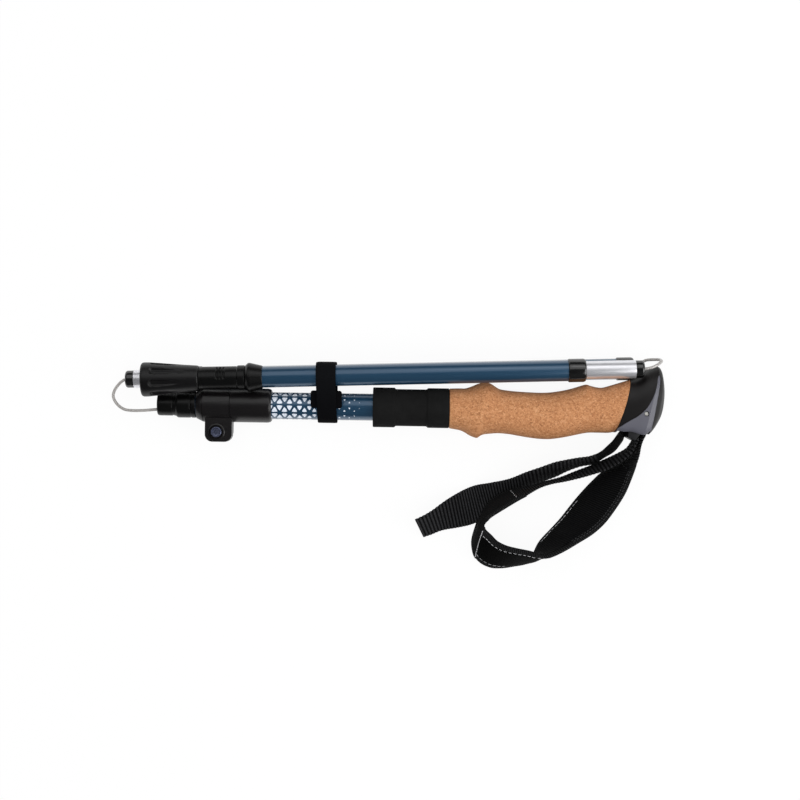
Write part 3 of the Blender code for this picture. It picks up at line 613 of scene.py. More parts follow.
# %% Black and grey plastics
def moulded(name, base, roughness, specular, scale, height):
    """A moulded plastic or rubber with an even colour and a fine grain."""
    made, tree, shader = new_material(name, base, roughness, Specular_IOR_Level=specular)
    add_grain(tree, shader, scale, height, 0.05)
    return made


black_plastic = moulded("black_plastic", colour(14, 12, 13), 0.34, 0.5, 1400.0, 0.000008)
deep_plastic = moulded("black_plastic_deep", colour(5, 5, 5), 0.34, 0.3, 1400.0, 0.000006)
gloss_plastic = moulded("black_plastic_glossy", colour(4, 4, 4), 0.18, 1.0, 1200.0, 0.000003)
satin_plastic = moulded("black_plastic_satin", colour(15, 13, 13), 0.42, 0.35, 1700.0, 0.000008)
wedge_plastic = moulded("black_plastic_worn", colour(27, 27, 29), 0.45, 0.35, 1700.0, 0.000008)
grey_plastic = moulded("grey_plastic", colour(88, 88, 97), 0.36, 0.5, 1500.0, 0.000006)

# %% Rubber and foam
black_rubber = moulded("black_rubber", colour(6, 5, 6), 0.42, 0.45, 1100.0, 0.000014)

foam_rubber, tree, shader = new_material(
    "foam_rubber", colour(24, 24, 25), 0.88, Specular_IOR_Level=0.1
)
place = object_place(tree)
pores = add_node(tree, "ShaderNodeTexVoronoi", {"Scale": 2100.0})
tree.links.new(place, pores.inputs["Vector"])
patches = add_node(tree, "ShaderNodeTexNoise", {"Scale": 180.0, "Detail": 3.0})
tree.links.new(place, patches.inputs["Vector"])
tint(tree, shader, patches.outputs["Fac"], colour(18, 18, 18), colour(28, 28, 28))
add_bump(tree, shader, pores.outputs["Distance"], 0.9, 0.00006)

# %% [markdown]
# ## Cork
#
# Agglomerated cork is bark, ground to granules of about a millimetre and pressed into a block with a
# binder. Each granule keeps its own tone, from pale honey to burnt brown, and a few dark flecks of
# the bark's pores stay between them. Voronoi cells are granules: a random colour for each cell, a
# second and finer layer over the first, and the middle of each fine cell pressed slightly in.

# %% The cork finish
def granules(tree, source, scale, tones):
    """One layer of cork granules: a random tone for each Voronoi cell."""
    cells = add_node(tree, "ShaderNodeTexVoronoi", {"Scale": scale, "Randomness": 1.0})
    tree.links.new(source, cells.inputs["Vector"])
    pick = add_node(tree, "ShaderNodeSeparateColor")
    tree.links.new(cells.outputs["Color"], pick.inputs["Color"])
    ramp = add_node(tree, "ShaderNodeValToRGB")
    band = ramp.color_ramp
    band.interpolation = "LINEAR"
    band.elements[0].position = tones[0][0]
    band.elements[0].color = (*tones[0][1], 1.0)
    band.elements[1].position = tones[-1][0]
    band.elements[1].color = (*tones[-1][1], 1.0)
    for spot, tone in tones[1:-1]:
        extra = band.elements.new(spot)
        extra.color = (*tone, 1.0)
    tree.links.new(pick.outputs["Red"], ramp.inputs["Fac"])
    return cells, ramp.outputs["Color"]


cork, tree, shader = new_material("cork", colour(200, 142, 96), 0.82)
place = object_place(tree)
warp = add_node(tree, "ShaderNodeTexNoise", {"Scale": 900.0, "Detail": 2.0})
tree.links.new(place, warp.inputs["Vector"])
push = add_node(tree, "ShaderNodeVectorMath", operation="SCALE")
push.inputs["Scale"].default_value = 0.0006
tree.links.new(warp.outputs["Color"], push.inputs[0])
bent = add_node(tree, "ShaderNodeVectorMath", operation="ADD")
tree.links.new(place, bent.inputs[0])
tree.links.new(push.outputs[0], bent.inputs[1])
LARGE_TONES = [
    (0.0, colour(132, 82, 50)),
    (0.12, colour(170, 113, 72)),
    (0.5, colour(192, 133, 88)),
    (0.85, colour(206, 148, 102)),
    (1.0, colour(222, 170, 124)),
]
FINE_TONES = [
    (0.0, colour(104, 60, 36)),
    (0.1, colour(166, 109, 68)),
    (0.6, colour(194, 136, 91)),
    (1.0, colour(220, 166, 120)),
]
_, large = granules(tree, bent.outputs[0], 850.0, LARGE_TONES)
fine_cells, small = granules(tree, bent.outputs[0], 1800.0, FINE_TONES)
mixed = blend_colours(tree, 0.5, large, small)
broad = add_node(tree, "ShaderNodeTexNoise", {"Scale": 45.0, "Detail": 3.0})
tree.links.new(place, broad.inputs["Vector"])
shadowed = calculate(tree, "MULTIPLY", broad.outputs["Fac"], 0.35)
tint(tree, shader, shadowed, mixed, colour(165, 107, 66))
add_bump(tree, shader, fine_cells.outputs["Distance"], 0.7, 0.00008)

# %% [markdown]
# ## Webbing, mesh lining and thread
#
# Polyester webbing is woven over thick weft cords, so it shows as a row of cross ribs. The coarse
# ribs are in the mesh, and each band's UV map counts them: U grows by one from rib to rib, and V is
# the distance across the band in millimetres. So the finish knows where it is. It paints shade into
# the valleys and light onto the crests. It lays yarns over each rib, over and under in turn, paints
# the ones on top lighter, and leaves them dull and a little uneven.

# %% The yarn group
yarn_group, start, end = new_group(
    "yarns",
    [("UV", VECTOR, None), ("Yarns", FLOAT, 1.2)],
    [("Height", FLOAT), ("Shade", FLOAT)],
)
split = add_node(yarn_group, "ShaderNodeSeparateXYZ")
yarn_group.links.new(start.outputs["UV"], split.inputs["Vector"])
half_turns = calculate(yarn_group, "MULTIPLY", split.outputs["X"], math.pi)
rib_wave = calculate(yarn_group, "SINE", half_turns)
rib = calculate(yarn_group, "MULTIPLY", rib_wave, rib_wave)
yarns = calculate(yarn_group, "MULTIPLY", split.outputs["Y"], start.outputs["Yarns"])
yarn_wave = calculate(yarn_group, "SINE", calculate(yarn_group, "MULTIPLY", yarns, 2 * math.pi))
crossed = calculate(yarn_group, "MULTIPLY", rib_wave, yarn_wave)
lifted = calculate(yarn_group, "MULTIPLY_ADD", crossed, 0.3, 0.7)
woven_height = calculate(yarn_group, "MULTIPLY", rib, lifted)
yarn_group.links.new(woven_height, end.inputs["Height"])
fuzz = add_node(yarn_group, "ShaderNodeTexNoise", {"Scale": 900.0, "Detail": 2.0})
yarn_group.links.new(object_place(yarn_group), fuzz.inputs["Vector"])
uneven = calculate(yarn_group, "MULTIPLY_ADD", fuzz.outputs["Fac"], 1.2, 0.4)
# Painted light and shade: the colour follows the ribs' height, dark in the valleys and light on the
# crests and on the yarns on top, times a little random fuzz.
painted_rib_light_and_fuzz = calculate(yarn_group, "MULTIPLY", woven_height, uneven, clamp=True)
yarn_group.links.new(painted_rib_light_and_fuzz, end.inputs["Shade"])


def fabric(name, painted_valley_shade, painted_crest_light, yarns_per_mm, height):
    """A woven finish that follows the piece's own UV map, with painted shade in the rib valleys and
    painted light on the crests.
    """
    made, tree, shader = new_material(
        name,
        painted_valley_shade,
        0.85,
        Sheen_Weight=0.01,
        Sheen_Roughness=0.4,
        Specular_IOR_Level=0.03,
    )
    own = add_node(tree, "ShaderNodeUVMap", uv_map="UVMap")
    yarns = add_node(tree, "ShaderNodeGroup", node_tree=yarn_group)
    yarns.inputs["Yarns"].default_value = yarns_per_mm
    tree.links.new(own.outputs["UV"], yarns.inputs["UV"])
    # The colour runs from painted shade in the valleys to painted light on the crests.
    tint(tree, shader, yarns.outputs["Shade"], painted_valley_shade, painted_crest_light)
    add_bump(tree, shader, yarns.outputs["Height"], 0.8, height)
    return made


# %% The fabrics
# Each fabric's first colour is painted shade for its rib valleys, and its second painted light for the
# crests.
webbing = fabric("webbing", colour(3, 3, 3), colour(58, 58, 60), 1.0, 0.00016)
fine_webbing = fabric("webbing_fine", colour(11, 11, 11), colour(44, 44, 45), 1.3, 0.00010)
lining = fabric("padding_lining", colour(4, 4, 4), colour(30, 30, 31), 1.1, 0.00009)
face_cloth = fabric("padding_face", colour(4, 4, 4), colour(6, 6, 6), 1.6, 0.00003)
sleeve_cloth = fabric("padding_sleeve", colour(16, 16, 16), colour(25, 25, 26), 1.8, 0.00003)
elastic = fabric("elastic_band", colour(10, 10, 12), colour(18, 19, 21), 1.2, 0.00005)
thread = moulded("thread", colour(178, 178, 180), 0.6, 0.3, 4000.0, 0.00001)
dark_thread = moulded("thread_dark", colour(64, 64, 66), 0.6, 0.3, 4000.0, 0.00001)

# %% [markdown]
# ## The cable's finish
#
# The cable is a steel strand in a clear sheath that has gone a little brown. Its wires wind round
# the core, so the stripes are slanted in the cable's own UV map: along for the length, around for
# the turn. The stripes' tones are painted light and shade: pale on each wire's crest, dark in the
# grooves between the wires.

# %% Coated steel strand
STRANDS = 7
WINDINGS = 70.0

coated_cable, tree, shader = new_material(
    "coated_cable", colour(168, 164, 160), 0.3, 0.25, Coat_Weight=0.6, Coat_Roughness=0.12
)
own = add_node(tree, "ShaderNodeUVMap", uv_map="UVMap")
split = add_node(tree, "ShaderNodeSeparateXYZ")
tree.links.new(own.outputs["UV"], split.inputs["Vector"])
wound = calculate(tree, "MULTIPLY", split.outputs["Y"], float(STRANDS))
runs = calculate(tree, "MULTIPLY", split.outputs["X"], WINDINGS)
slanted = calculate(tree, "ADD", wound, runs)
wave = calculate(tree, "SINE", calculate(tree, "MULTIPLY", slanted, 2 * math.pi))
wire_ridges_and_painted_light = calculate(tree, "MULTIPLY_ADD", wave, 0.5, 0.5)
# Painted light and shade: the wires are pale on their crests and dark in the grooves between them.
tint(tree, shader, wire_ridges_and_painted_light, colour(124, 118, 114), colour(214, 211, 208))
add_bump(tree, shader, wire_ridges_and_painted_light, 0.5, 0.00008)

# %% [markdown]
# ## The cables
#
# One cable pulls the sections together. It leaves the cap on section 3, bends back in a loop and
# enters the socket of section 2, and there is a second, tighter loop at the head's end. The cable
# isn't long, so each loop is only as big as its stiffness makes it: the tightest bend, in the
# second loop, has a radius of about two of its diameters. A tube is rolled along each line, and the
# line itself is kept for the declaration.

# %% Roll a tube along a line
CABLE_R = 1.0
CABLE_SIDES = 20


def tube_along(line, radius, sides=CABLE_SIDES):
    """A round cable along a line of points, with closed ends. radius may change along it."""
    radii = radius if isinstance(radius, list) else [radius] * len(line)
    frames = []
    side = None
    for i, point in enumerate(line):
        ahead = (line[min(i + 1, len(line) - 1)] - line[max(i - 1, 0)]).normalized()
        side = ahead.orthogonal() if side is None else side
        side = (side - ahead * side.dot(ahead)).normalized()
        frames.append((point, side, ahead.cross(side), radii[i]))
    frames = [(*frames[0][:3], 0.0), *frames, (*frames[-1][:3], 0.0)]

    def place(i, k):
        point, across, up, reach = frames[i]
        angle = 2 * math.pi * k / sides
        return point + (across * math.cos(angle) + up * math.sin(angle)) * reach

    return rolled(len(frames) - 1, sides, place)


# %% The middle and lower loops
MIDDLE_LOOP = [
    (-184.9, 16.22, 9.3),
    (-188.4, 13.4, 9.5),
    (-191.6, 8.6, 10.1),
    (-192.1, 4.2, 11.2),
    (-189.4, -0.4, 12.2),
    (-184.6, -3.7, 13.9),
    (-178.7, -4.6, 15.1),
    (-170.6, -4.4, 15.8),
    (-163.0, -3.7, 16.0),
    (-155.0, -2.9, 16.0),
    (-146.0, -0.8, 16.0),
    (-137.0, 0.0, 16.0),
]
LOWER_LOOP = [
    (161.0, 27.88, 28.6),
    (165.6, 28.9, 28.4),
    (169.6, 30.8, 27.2),
    (172.3, 32.7, 24.4),
    (173.3, 33.7, 20.6),
    (172.0, 34.5, 16.6),
    (167.6, 34.5, 13.6),
    (164.0, 34.0, 11.4),
    (160.4, 31.6, 9.9),
    (156.8, 28.46, 9.3),
]


def cable_loop(name, points, body, node):
    """A free loop of cable, which rides with its body."""
    line = smooth_points([Vector(p) for p in points], 1.2)
    made = as_object(name, tube_along(line, CABLE_R))
    finish_piece(made, ON_TABLE, coated_cable, body, [node], sharp=60.0)
    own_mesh(made)
    path = [ON_TABLE @ point for point in line]
    length = length_of(path)
    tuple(path[0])
    print(name, "is", round(length * 1000, 1), "mm long")
    return made


cable_loop(
    "middle_cable_loop",
    MIDDLE_LOOP,
    "section_2",
    "cord_middle_loop",
)
cable_loop(
    "lower_cable_loop",
    LOWER_LOOP,
    "lower_link",
    "cord_lower_loop",
)

# %% [markdown]
# Inside the tubes the cable runs straight, and swells into the plug that holds its end. These runs
# only show when a section is drawn out, but they are made in the same way.

# %% The runs inside the tubes
PLUG_R, PLUG_END_R = 6.0, 5.2
STOP_R, STOP_END_R = 4.6, 3.8


def cable_run(name, points, radii, axis, body, node):
    """A straight run of cable about a section's own axis."""
    made = as_object(name, tube_along([Vector(p) for p in points], radii))
    return finish_piece(made, axis, coated_cable, body, [node], sharp=40.0)


cable_run(
    "upper_cable_run",
    [(-136.4, 0, 0), (-60.0, 0, 0), (-21.2, 0, 0), (-21.0, 0, 0), (-14.0, 0, 0), (-13.4, 0, 0)],
    [CABLE_R, CABLE_R, CABLE_R, PLUG_R, PLUG_R, PLUG_END_R],
    HANDLE,
    "section_2",
    "cord_upper_run",
)
cable_run(
    "middle_cable_run",
    [(-184.0, 0, 0), (-168.0, 0, 0), (-160.0, 1.4, 0), (24.0, 1.4, 0)],
    CABLE_R,
    SECTION_3,
    "middle_link",
    "cord_run_a",
)
cable_run(
    "far_cable_run",
    [(156.2, 0, 0), (150.0, 0, 0), (142.0, -1.4, 0), (-24.0, -1.4, 0)],
    CABLE_R,
    SECTION_3,
    "lower_link",
    "cord_run_b",
)
cable_run(
    "lower_cable_run",
    [(160.4, 0, 0), (-76.0, 0, 0), (-76.3, 0, 0), (-84.0, 0, 0), (-84.8, 0, 0)],
    [CABLE_R, CABLE_R, STOP_R, STOP_R, STOP_END_R],
    SECTION_4,
    "section_4",
    "cord_lower_run",
)

# %% [markdown]
# ## The tubes, ferrules and collars
#
# Everything on the sections is round, so each piece is one profile and one spin. The ends of real
# tubes are deburred: a small bevel catches a line of light there, and without it a tube looks like
# a drawing of a tube.

# %% Turn the plain pieces
def turned_piece(name, profile, axis, material, body, edge=0.12):
    """A turned piece with softened edges, in place of the CAD node of the same name."""
    made = as_object("smooth_" + name, soften(turned(profile), edge))
    return finish_piece(made, axis, material, body, [name])


def tube_profile(low, high, outer, bore):
    return [(low, bore), (low, outer), (high, outer), (high, bore)]


HANDLE_TUBE = tube_profile(-128.2, 141.4, TUBE_R, 8.35)
SECTION_2_TUBE = tube_profile(-145.6, 128.0, 8.0, 7.35)
turned_piece("handle_tube", HANDLE_TUBE, HANDLE, printed_blue, "handle")
turned_piece("section_2_tube", SECTION_2_TUBE, HANDLE, anodised_blue, "section_2")

# %% Sections 3 and 4
LOWER_R = 7.0
LOWER_BORE = 6.28
FERRULE_R = 6.0
FERRULE_BORE = 5.25
COLLAR_R = 7.75

for name, axis, low, high, body in (
    ("section_3_tube", SECTION_3, -143.8, 155.3, "section_3"),
    ("section_4_tube", SECTION_4, -111.6, 121.2, "section_4"),
):
    profile = tube_profile(low, high, LOWER_R, LOWER_BORE)
    turned_piece(name, profile, axis, anodised_blue, body)

for name, axis, low, high, body in (
    ("section_3_ferrule", SECTION_3, -178.75, -112.0, "section_3"),
    ("section_4_ferrule", SECTION_4, 88.0, 155.0, "section_4"),
):
    profile = tube_profile(low, high, FERRULE_R, FERRULE_BORE)
    turned_piece(name, profile, axis, polished_aluminium, body, 0.2)


# %% The collars over the tubes' ends
def collar_profile(low, high, lip_low):
    """A collar with a lip that turns in over the tube's end."""
    profile = [
        (low, LOWER_R + 0.06),
        (low, COLLAR_R - 0.35),
        (low + 0.6, COLLAR_R),
        (high - 1.6, COLLAR_R),
        (high - 0.4, COLLAR_R - 0.45),
        (high, COLLAR_R - 1.0),
        (high, FERRULE_R + 0.25),
        (high - 0.8, FERRULE_R + 0.25),
        (high - 0.8, LOWER_R + 0.06),
    ]
    return [(low + high - s, r) for s, r in profile] if lip_low else profile


for name, axis, low, high, lip_low, body in (
    ("section_3_upper_collar", SECTION_3, -144.75, -132.65, True, "section_3"),
    ("section_3_socket_collar", SECTION_3, 144.88, 156.3, False, "section_3"),
    ("section_4_collar", SECTION_4, 110.47, 122.13, False, "section_4"),
):
    profile = collar_profile(low, high, lip_low)
    turned_piece(name, profile, axis, gloss_plastic, body, 0.1)

# %% The caps on the ferrules
CAP_PROFILE = [
    (0.0, 1.15),
    (0.0, 4.4),
    (0.5, 5.3),
    (1.4, 5.8),
    (5.5, 5.8),
    (5.5, 5.1),
    (12.0, 5.1),
    (12.0, 1.15),
]

for name, axis, tip, inward, body in (
    ("section_3_cap", SECTION_3, -184.4, 1, "section_3"),
    ("section_4_cap", SECTION_4, 160.7, -1, "section_4"),
):
    profile = [(tip + inward * s, r) for s, r in CAP_PROFILE]
    turned_piece(name, profile, axis, gloss_plastic, body, 0.15)

# %% [markdown]
# ## Section 2's socket and bushing
#
# The socket fitting caps the telescoping tube: section 3's ferrule slides into it when the pole is
# opened. Two shallow grooves and a step break up its length. The bushing at the other end centres
# the tube inside the handle and never comes out.

# %% The socket fitting and the bushing
SOCKET_FITTING = [
    (-161.2, 6.6),
    (-161.2, 6.9),
    (-160.9, 7.25),
    (-160.3, 7.5),
    (-158.8, 7.6),
    (-151.4, 7.6),
    (-151.2, 7.3),
    (-150.2, 7.3),
    (-150.0, 7.6),
    (-149.0, 7.7),
    (-148.2, 8.4),
    (-147.4, 8.8),
    (-139.6, 8.8),
    (-139.4, 8.5),
    (-138.6, 8.5),
    (-138.4, 8.8),
    (-136.1, 8.8),
    (-135.7, 8.5),
    (-135.7, 8.1),
    (-145.9, 8.1),
    (-145.9, 7.2),
    (-117.5, 7.2),
    (-117.5, 6.2),
    (-160.8, 6.2),
]
BUSHING = [
    (117.0, 5.4),
    (117.0, 7.15),
    (128.2, 7.15),
    (128.2, 8.22),
    (131.0, 8.22),
    (131.6, 7.8),
    (131.6, 5.4),
]
turned_piece(
    "socket_fitting", SOCKET_FITTING, HANDLE, deep_plastic, "section_2", 0.12
)
turned_piece("upper_bushing", BUSHING, HANDLE, black_plastic, "section_2")

# %% [markdown]
# ## The lower grip
#
# Below the cork there is a foam sleeve for a short hold on steep ground. It has a thick ring at each
# end and a waist between them. Foam is cut soft, so its edges are rounder than the plastic's.

# %% The foam sleeve
FOAM_R = 13.25
FOAM_WAIST_R = 12.3
FOAM_SLEEVE = [
    (-17.94, 9.06),
    (-17.94, FOAM_R),
    (-3.5, FOAM_R),
    (-2.9, FOAM_WAIST_R),
    (17.7, FOAM_WAIST_R),
    (18.6, FOAM_R),
    (32.7, FOAM_R),
    (32.7, 9.06),
]
turned_piece(
    "lower_grip_sleeve", FOAM_SLEEVE, HANDLE, foam_rubber, "handle", 0.45
)

# %% [markdown]
# ## The cork grip
#
# The grip is shaped for a hand: a waist for the fingers, a swell for the palm, and a slanted ridge
# that stops the hand from sliding down. Its plan is measured on the finger side and on the palm side
# at some twenty places. Between them the outline is a smooth line, and round it each section is a
# slightly squared ellipse. The ridge is added afterwards as a low crest that runs across the top at
# a slant, steeper below than above.

# %% The grip's sections
GRIP_SIDES = 96
RING_STEP = 1.3
GRIP_START = 32.9
GRIP_ROWS = [
    (32.9, 13.2, -13.3, 13.2, 2.0),
    (39.9, 13.4, -14.5, 13.7, 2.0),
    (43.3, 13.4, -15.9, 14.0, 2.0),
    (46.6, 14.4, -17.9, 14.2, 2.0),
    (49.9, 15.8, -19.2, 14.3, 2.0),
    (51.8, 16.6, -19.5, 14.4, 2.0),
    (53.8, 17.2, -18.0, 14.4, 2.0),
    (56.5, 17.6, -17.0, 14.3, 2.0),
    (59.9, 17.1, -16.6, 14.1, 2.05),
    (63.3, 15, -16.25, 13.9, 2.1),
    (66.6, 13.2, -16.15, 13.7, 2.1),
    (73.3, 12.25, -16.7, 13.8, 2.15),
    (80.0, 11.75, -17.8, 14.1, 2.2),
    (86.7, 11.45, -18.8, 14.5, 2.2),
    (93.4, 11.3, -19.5, 14.8, 2.2),
    (100.0, 11.6, -19.55, 14.9, 2.2),
    (106.7, 12.6, -18.7, 14.8, 2.2),
    (113.3, 14.05, -17.4, 14.6, 2.2),
    (119.9, 16.1, -15.9, 14.5, 2.2),
    (123.9, 17.2, -15.1, 14.5, 2.2),
    (127.0, 16.3, -14.8, 14.5, 2.2),
    (133.3, 15.2, -14.8, 14.6, 2.25),
    (138.6, 16.3, -14.8, 14.8, 2.3),
]
BOUNDARY_FINGER = (152.5, 20.7)
BOUNDARY_PALM = (142.4, -14.2)
BOUNDARY_BEND = 0.9
BOUNDARY_HALF = 15.2
BOUNDARY_SQUARE = 2.6


def section_ring(finger, palm, half, square, bend=0.0, palm_square=None):
    """A rounded section that stands on the line from the finger side to the palm side."""
    fx, fy = finger
    px, py = palm
    length = math.hypot(fx - px, fy - py)
    out_x = (fy - py) / length
    out_y = -(fx - px) / length
    ring = []
    for k in range(GRIP_SIDES):
        angle = 2 * math.pi * k / GRIP_SIDES
        c = math.cos(angle)
        s = math.sin(angle)
        power = square if c >= 0 or palm_square is None else palm_square
        t = math.copysign(abs(c) ** (2 / power), c)
        z = math.copysign(abs(s) ** (2 / power), s) * half
        swell = bend * (1 - t * t)
        x = (fx + px) / 2 + (fx - px) / 2 * t + out_x * swell
        y = (fy + py) / 2 + (fy - py) / 2 * t + out_y * swell
        ring.append(Vector((x, y, z)))
    return ring


def round_ring(along, radius):
    """A round section, with as many points as the grip's sections have."""
    ring = []
    for k in range(GRIP_SIDES):
        angle = 2 * math.pi * k / GRIP_SIDES
        ring.append(Vector((along, radius * math.cos(angle), radius * math.sin(angle))))
    return ring


def between_rings(rings, step):
    """More rings between the given ones, on a smooth line through each point."""
    ends = [rings[0]] + list(rings) + [rings[-1]]
    dense = []
    for i in range(1, len(ends) - 2):
        gap = max((c - b).length for b, c in zip(ends[i], ends[i + 1]))
        count = max(1, math.ceil(gap / step))
        for n in range(count):
            near = zip(*ends[i - 1 : i + 3])
            dense.append([curve_point(*points, n / count) for points in near])
    dense.append([point.copy() for point in rings[-1]])
    return dense


def loft(rings, closed=False):
    """A skin through rings of points. closed joins the last ring to the first."""
    shown = rings + [rings[0]] if closed else rings
    sides = len(rings[0])
    return rolled(len(shown) - 1, sides, lambda i, k: shown[i][k % sides])


# %% The ridge and the grip itself
RIDGE_PALM = (51.6, -19.5)
RIDGE_FINGER = (57.4, 17.6)
RIDGE_HEIGHT = 0.9
RIDGE_BELOW, RIDGE_ABOVE = 4.6, 9.0
RIDGE_FADE = 6.0
CORK_BORE_R = 9.1
CORK_BORE_END = 138.0
BOUNDARY_MIDDLE = Vector((147.5, 3.7, 0.0))
LIP_SHARE = 0.975
LIP_LONG = 0.3
END_SHARE = 0.35


def ridge_at(point):
    """How much the slanted ridge lifts the cork at this point."""
    share = (point.y - RIDGE_PALM[1]) / (RIDGE_FINGER[1] - RIDGE_PALM[1])
    crest = RIDGE_PALM[0] + (RIDGE_FINGER[0] - RIDGE_PALM[0]) * share
    away = point.x - crest
    reach = RIDGE_BELOW if away < 0 else RIDGE_ABOVE
    return RIDGE_HEIGHT * math.exp(-abs(away) / reach)


outer = [section_ring((x, f), (x, p), half, square) for x, f, p, half, square in GRIP_ROWS]
outer.append(
    section_ring(BOUNDARY_FINGER, BOUNDARY_PALM, BOUNDARY_HALF, BOUNDARY_SQUARE, BOUNDARY_BEND)
)
outer = between_rings(outer, RING_STEP)
for ring in outer:
    for point in ring:
        fade = min(1.0, abs(point.z) / RIDGE_FADE)
        point.z += math.copysign(ridge_at(point), point.z) * fade
lip = [Vector((GRIP_START, p.y * LIP_SHARE, p.z * LIP_SHARE)) for p in outer[0]]
start_ring = [Vector((GRIP_START + LIP_LONG, p.y, p.z)) for p in outer[0]]
end_face = [p.lerp(BOUNDARY_MIDDLE, END_SHARE) for p in outer[-1]]
bore = [round_ring(CORK_BORE_END, CORK_BORE_R), round_ring(GRIP_START, CORK_BORE_R)]
made = as_object("cork_body", loft([lip, start_ring] + outer[1:] + [end_face] + bore, closed=True))
finish_piece(made, HANDLE, cork, "handle", ["cork_grip"], sharp=50.0)

# %% [markdown]
# ## The clamp
#
# A plastic sleeve holds the handle tube's lower end. Round its lower part lies the band: a split ring
# whose two ears are drawn together by a screw and a cam lever. Such a part is easiest to build as it
# was drawn by its designer, from simple solids: a ring joined with two rounded ears, then cut by
# the bore, the slit and the screw's seat, and rounded over at the end.

# %% The sleeve
CLAMP_SLEEVE = [
    (-135.36, 8.25),
    (-135.36, 9.1),
    (-131.3, 11.1),
    (-130.85, 11.2),
    (-130.85, 9.9),
    (-112.65, 9.9),
    (-112.65, 11.37),
    (-87.9, 11.37),
    (-86.9, 11.2),
    (-86.0, 10.8),
    (-85.32, 10.1),
    (-85.32, 9.06),
    (-128.5, 9.06),
    (-128.5, 8.25),
]
turned_piece("clamp_sleeve", CLAMP_SLEEVE, HANDLE, black_plastic, "handle", 0.2)

# %% The band's ring and ears
BAND_LOW = -130.6
BAND_HIGH = -112.9
BAND_R = 11.4
BAND_BORE = 10.0
EAR_LOW = -129.0
EAR_HIGH = -111.1
EAR_CORNER = 5.0
EAR_ROOT = -8.0
EAR_TOP, EAR_FOOT = 7.6, -4.0
EAR_LAP = 1.0
UPPER_REACH, LOWER_REACH = 24.4, 22.6
SLIT_HALF = 0.8
SLIT_PLAN = (-134.0, -108.0, -30.0, -9.0)
CUT_PAST = 3.0
SCREW_X, SCREW_Y = -121.5, -17.9
SCREW_SEATS = ((4.75, 5.6, 12.0), (1.7, -8.0, 6.0))
RIM_PROFILE = [
    (2.0, 0.0),
    (2.0, 6.3),
    (6.5, 6.3),
    (7.05, 6.18),
    (7.5, 5.9),
    (7.83, 5.5),
    (8.0, 5.05),
    (8.05, 4.6),
    (8.05, 0.0),
]
STAND_UP = Matrix.Rotation(-math.pi / 2, 4, "Y")


def arc(centre, radius, first, last, step):
    """Points on an arc, in degrees."""
    count = max(1, round(abs(last - first) / step))
    points = []
    for n in range(count + 1):
        angle = math.radians(first + (last - first) * n / count)
        points.append((centre[0] + radius * math.cos(angle), centre[1] + radius * math.sin(angle)))
    return points


def ear_outline(reach):
    """An ear's plan: square where it meets the ring, round at its two outer corners."""
    low_centre = (EAR_LOW + EAR_CORNER, EAR_CORNER - reach)
    high_centre = (EAR_HIGH - EAR_CORNER, EAR_CORNER - reach)
    return (
        [(EAR_HIGH, EAR_ROOT), (EAR_LOW, EAR_ROOT)]
        + arc(low_centre, EAR_CORNER, 180, 270, 9)
        + arc(high_centre, EAR_CORNER, 270, 360, 9)
    )


def block(x0, x1, y0, y1, z0, z1):
    return raised([(x0, y0), (x1, y0), (x1, y1), (x0, y1)], z0, z1)


band = as_object("smooth_clamp_band", barrel(BAND_R, BAND_LOW, BAND_HIGH, axis="X"))
upper_ear = raised(ear_outline(UPPER_REACH), -EAR_LAP, EAR_TOP)
lower_ear = raised(ear_outline(LOWER_REACH), EAR_FOOT, EAR_LAP)
rim = turned(RIM_PROFILE, closed=False, steps=64)
bmesh.ops.transform(rim, verts=rim.verts, matrix=STAND_UP)
bmesh.ops.translate(rim, verts=rim.verts, vec=(SCREW_X, SCREW_Y, 0.0))
for name, work in (("upper_ear", upper_ear), ("lower_ear", lower_ear), ("rim", rim)):
    carve(band, as_object(name, work), "UNION")
band_bore = barrel(BAND_BORE, BAND_LOW - CUT_PAST, BAND_HIGH + CUT_PAST, axis="X")
carve(band, as_object("bore", band_bore))
carve(band, as_object("slit", block(*SLIT_PLAN, -SLIT_HALF, SLIT_HALF)))
for radius, low, high in SCREW_SEATS:
    seat = barrel(radius, low, high, steps=48)
    bmesh.ops.translate(seat, verts=seat.verts, vec=(SCREW_X, SCREW_Y, 0.0))
    carve(band, as_object("seat", seat))
round_over(band, 0.4)
finish_piece(band, HANDLE, black_plastic, "handle", ["clamp_band"], sharp=30.0)

# %% [markdown]
# The screw's head is a shallow dish with a bright turned rim and a small hexagon socket. It turns by
# hand or with a key, so it is one piece about its own upright axis. The lever under the band is a
# cam: round near its pin, with a flat arm that follows the sleeve.

# %% The screw
SCREW_PROFILE = [
    (-10.4, 0.0),
    (-10.4, 1.35),
    (5.85, 1.35),
    (5.85, 3.55),
    (8.0, 3.55),
    (8.4, 3.15),
    (8.4, 2.75),
    (7.7, 2.5),
    (7.7, 0.0),
]
HEXAGON_R = 1.25
HEXAGON_LOW, HEXAGON_HIGH = 6.9, 9.0
screw_axis = HANDLE @ Matrix.Translation((SCREW_X, SCREW_Y, 0.0)) @ STAND_UP
screw = as_object("smooth_clamp_screw", soften(turned(SCREW_PROFILE, closed=False, steps=64), 0.1))
hexagon = barrel(HEXAGON_R, HEXAGON_LOW, HEXAGON_HIGH, steps=6, axis="X")
carve(screw, as_object("hexagon", hexagon))
finish_piece(screw, screw_axis, dark_steel, "screw", ["clamp_screw"], sharp=30.0)

# %% The lever and its pin
PIN_Y, PIN_Z = -17.9, -8.6
PIN_R = 2.6
CAM_R = 4.35
ARM_INNER, ARM_OUTER = 12.0, 14.7
LEVER_LOW, LEVER_HIGH = -128.4, -113.2
LEVER_SLOT_HALF = 2.6
PIN_LOW, PIN_HIGH = -128.2, -113.4
PIN_HOLE_R = 1.65
ACROSS_TUBE = Matrix(((0, 0, 1, 0), (1, 0, 0, 0), (0, 1, 0, 0), (0, 0, 0, 1)))

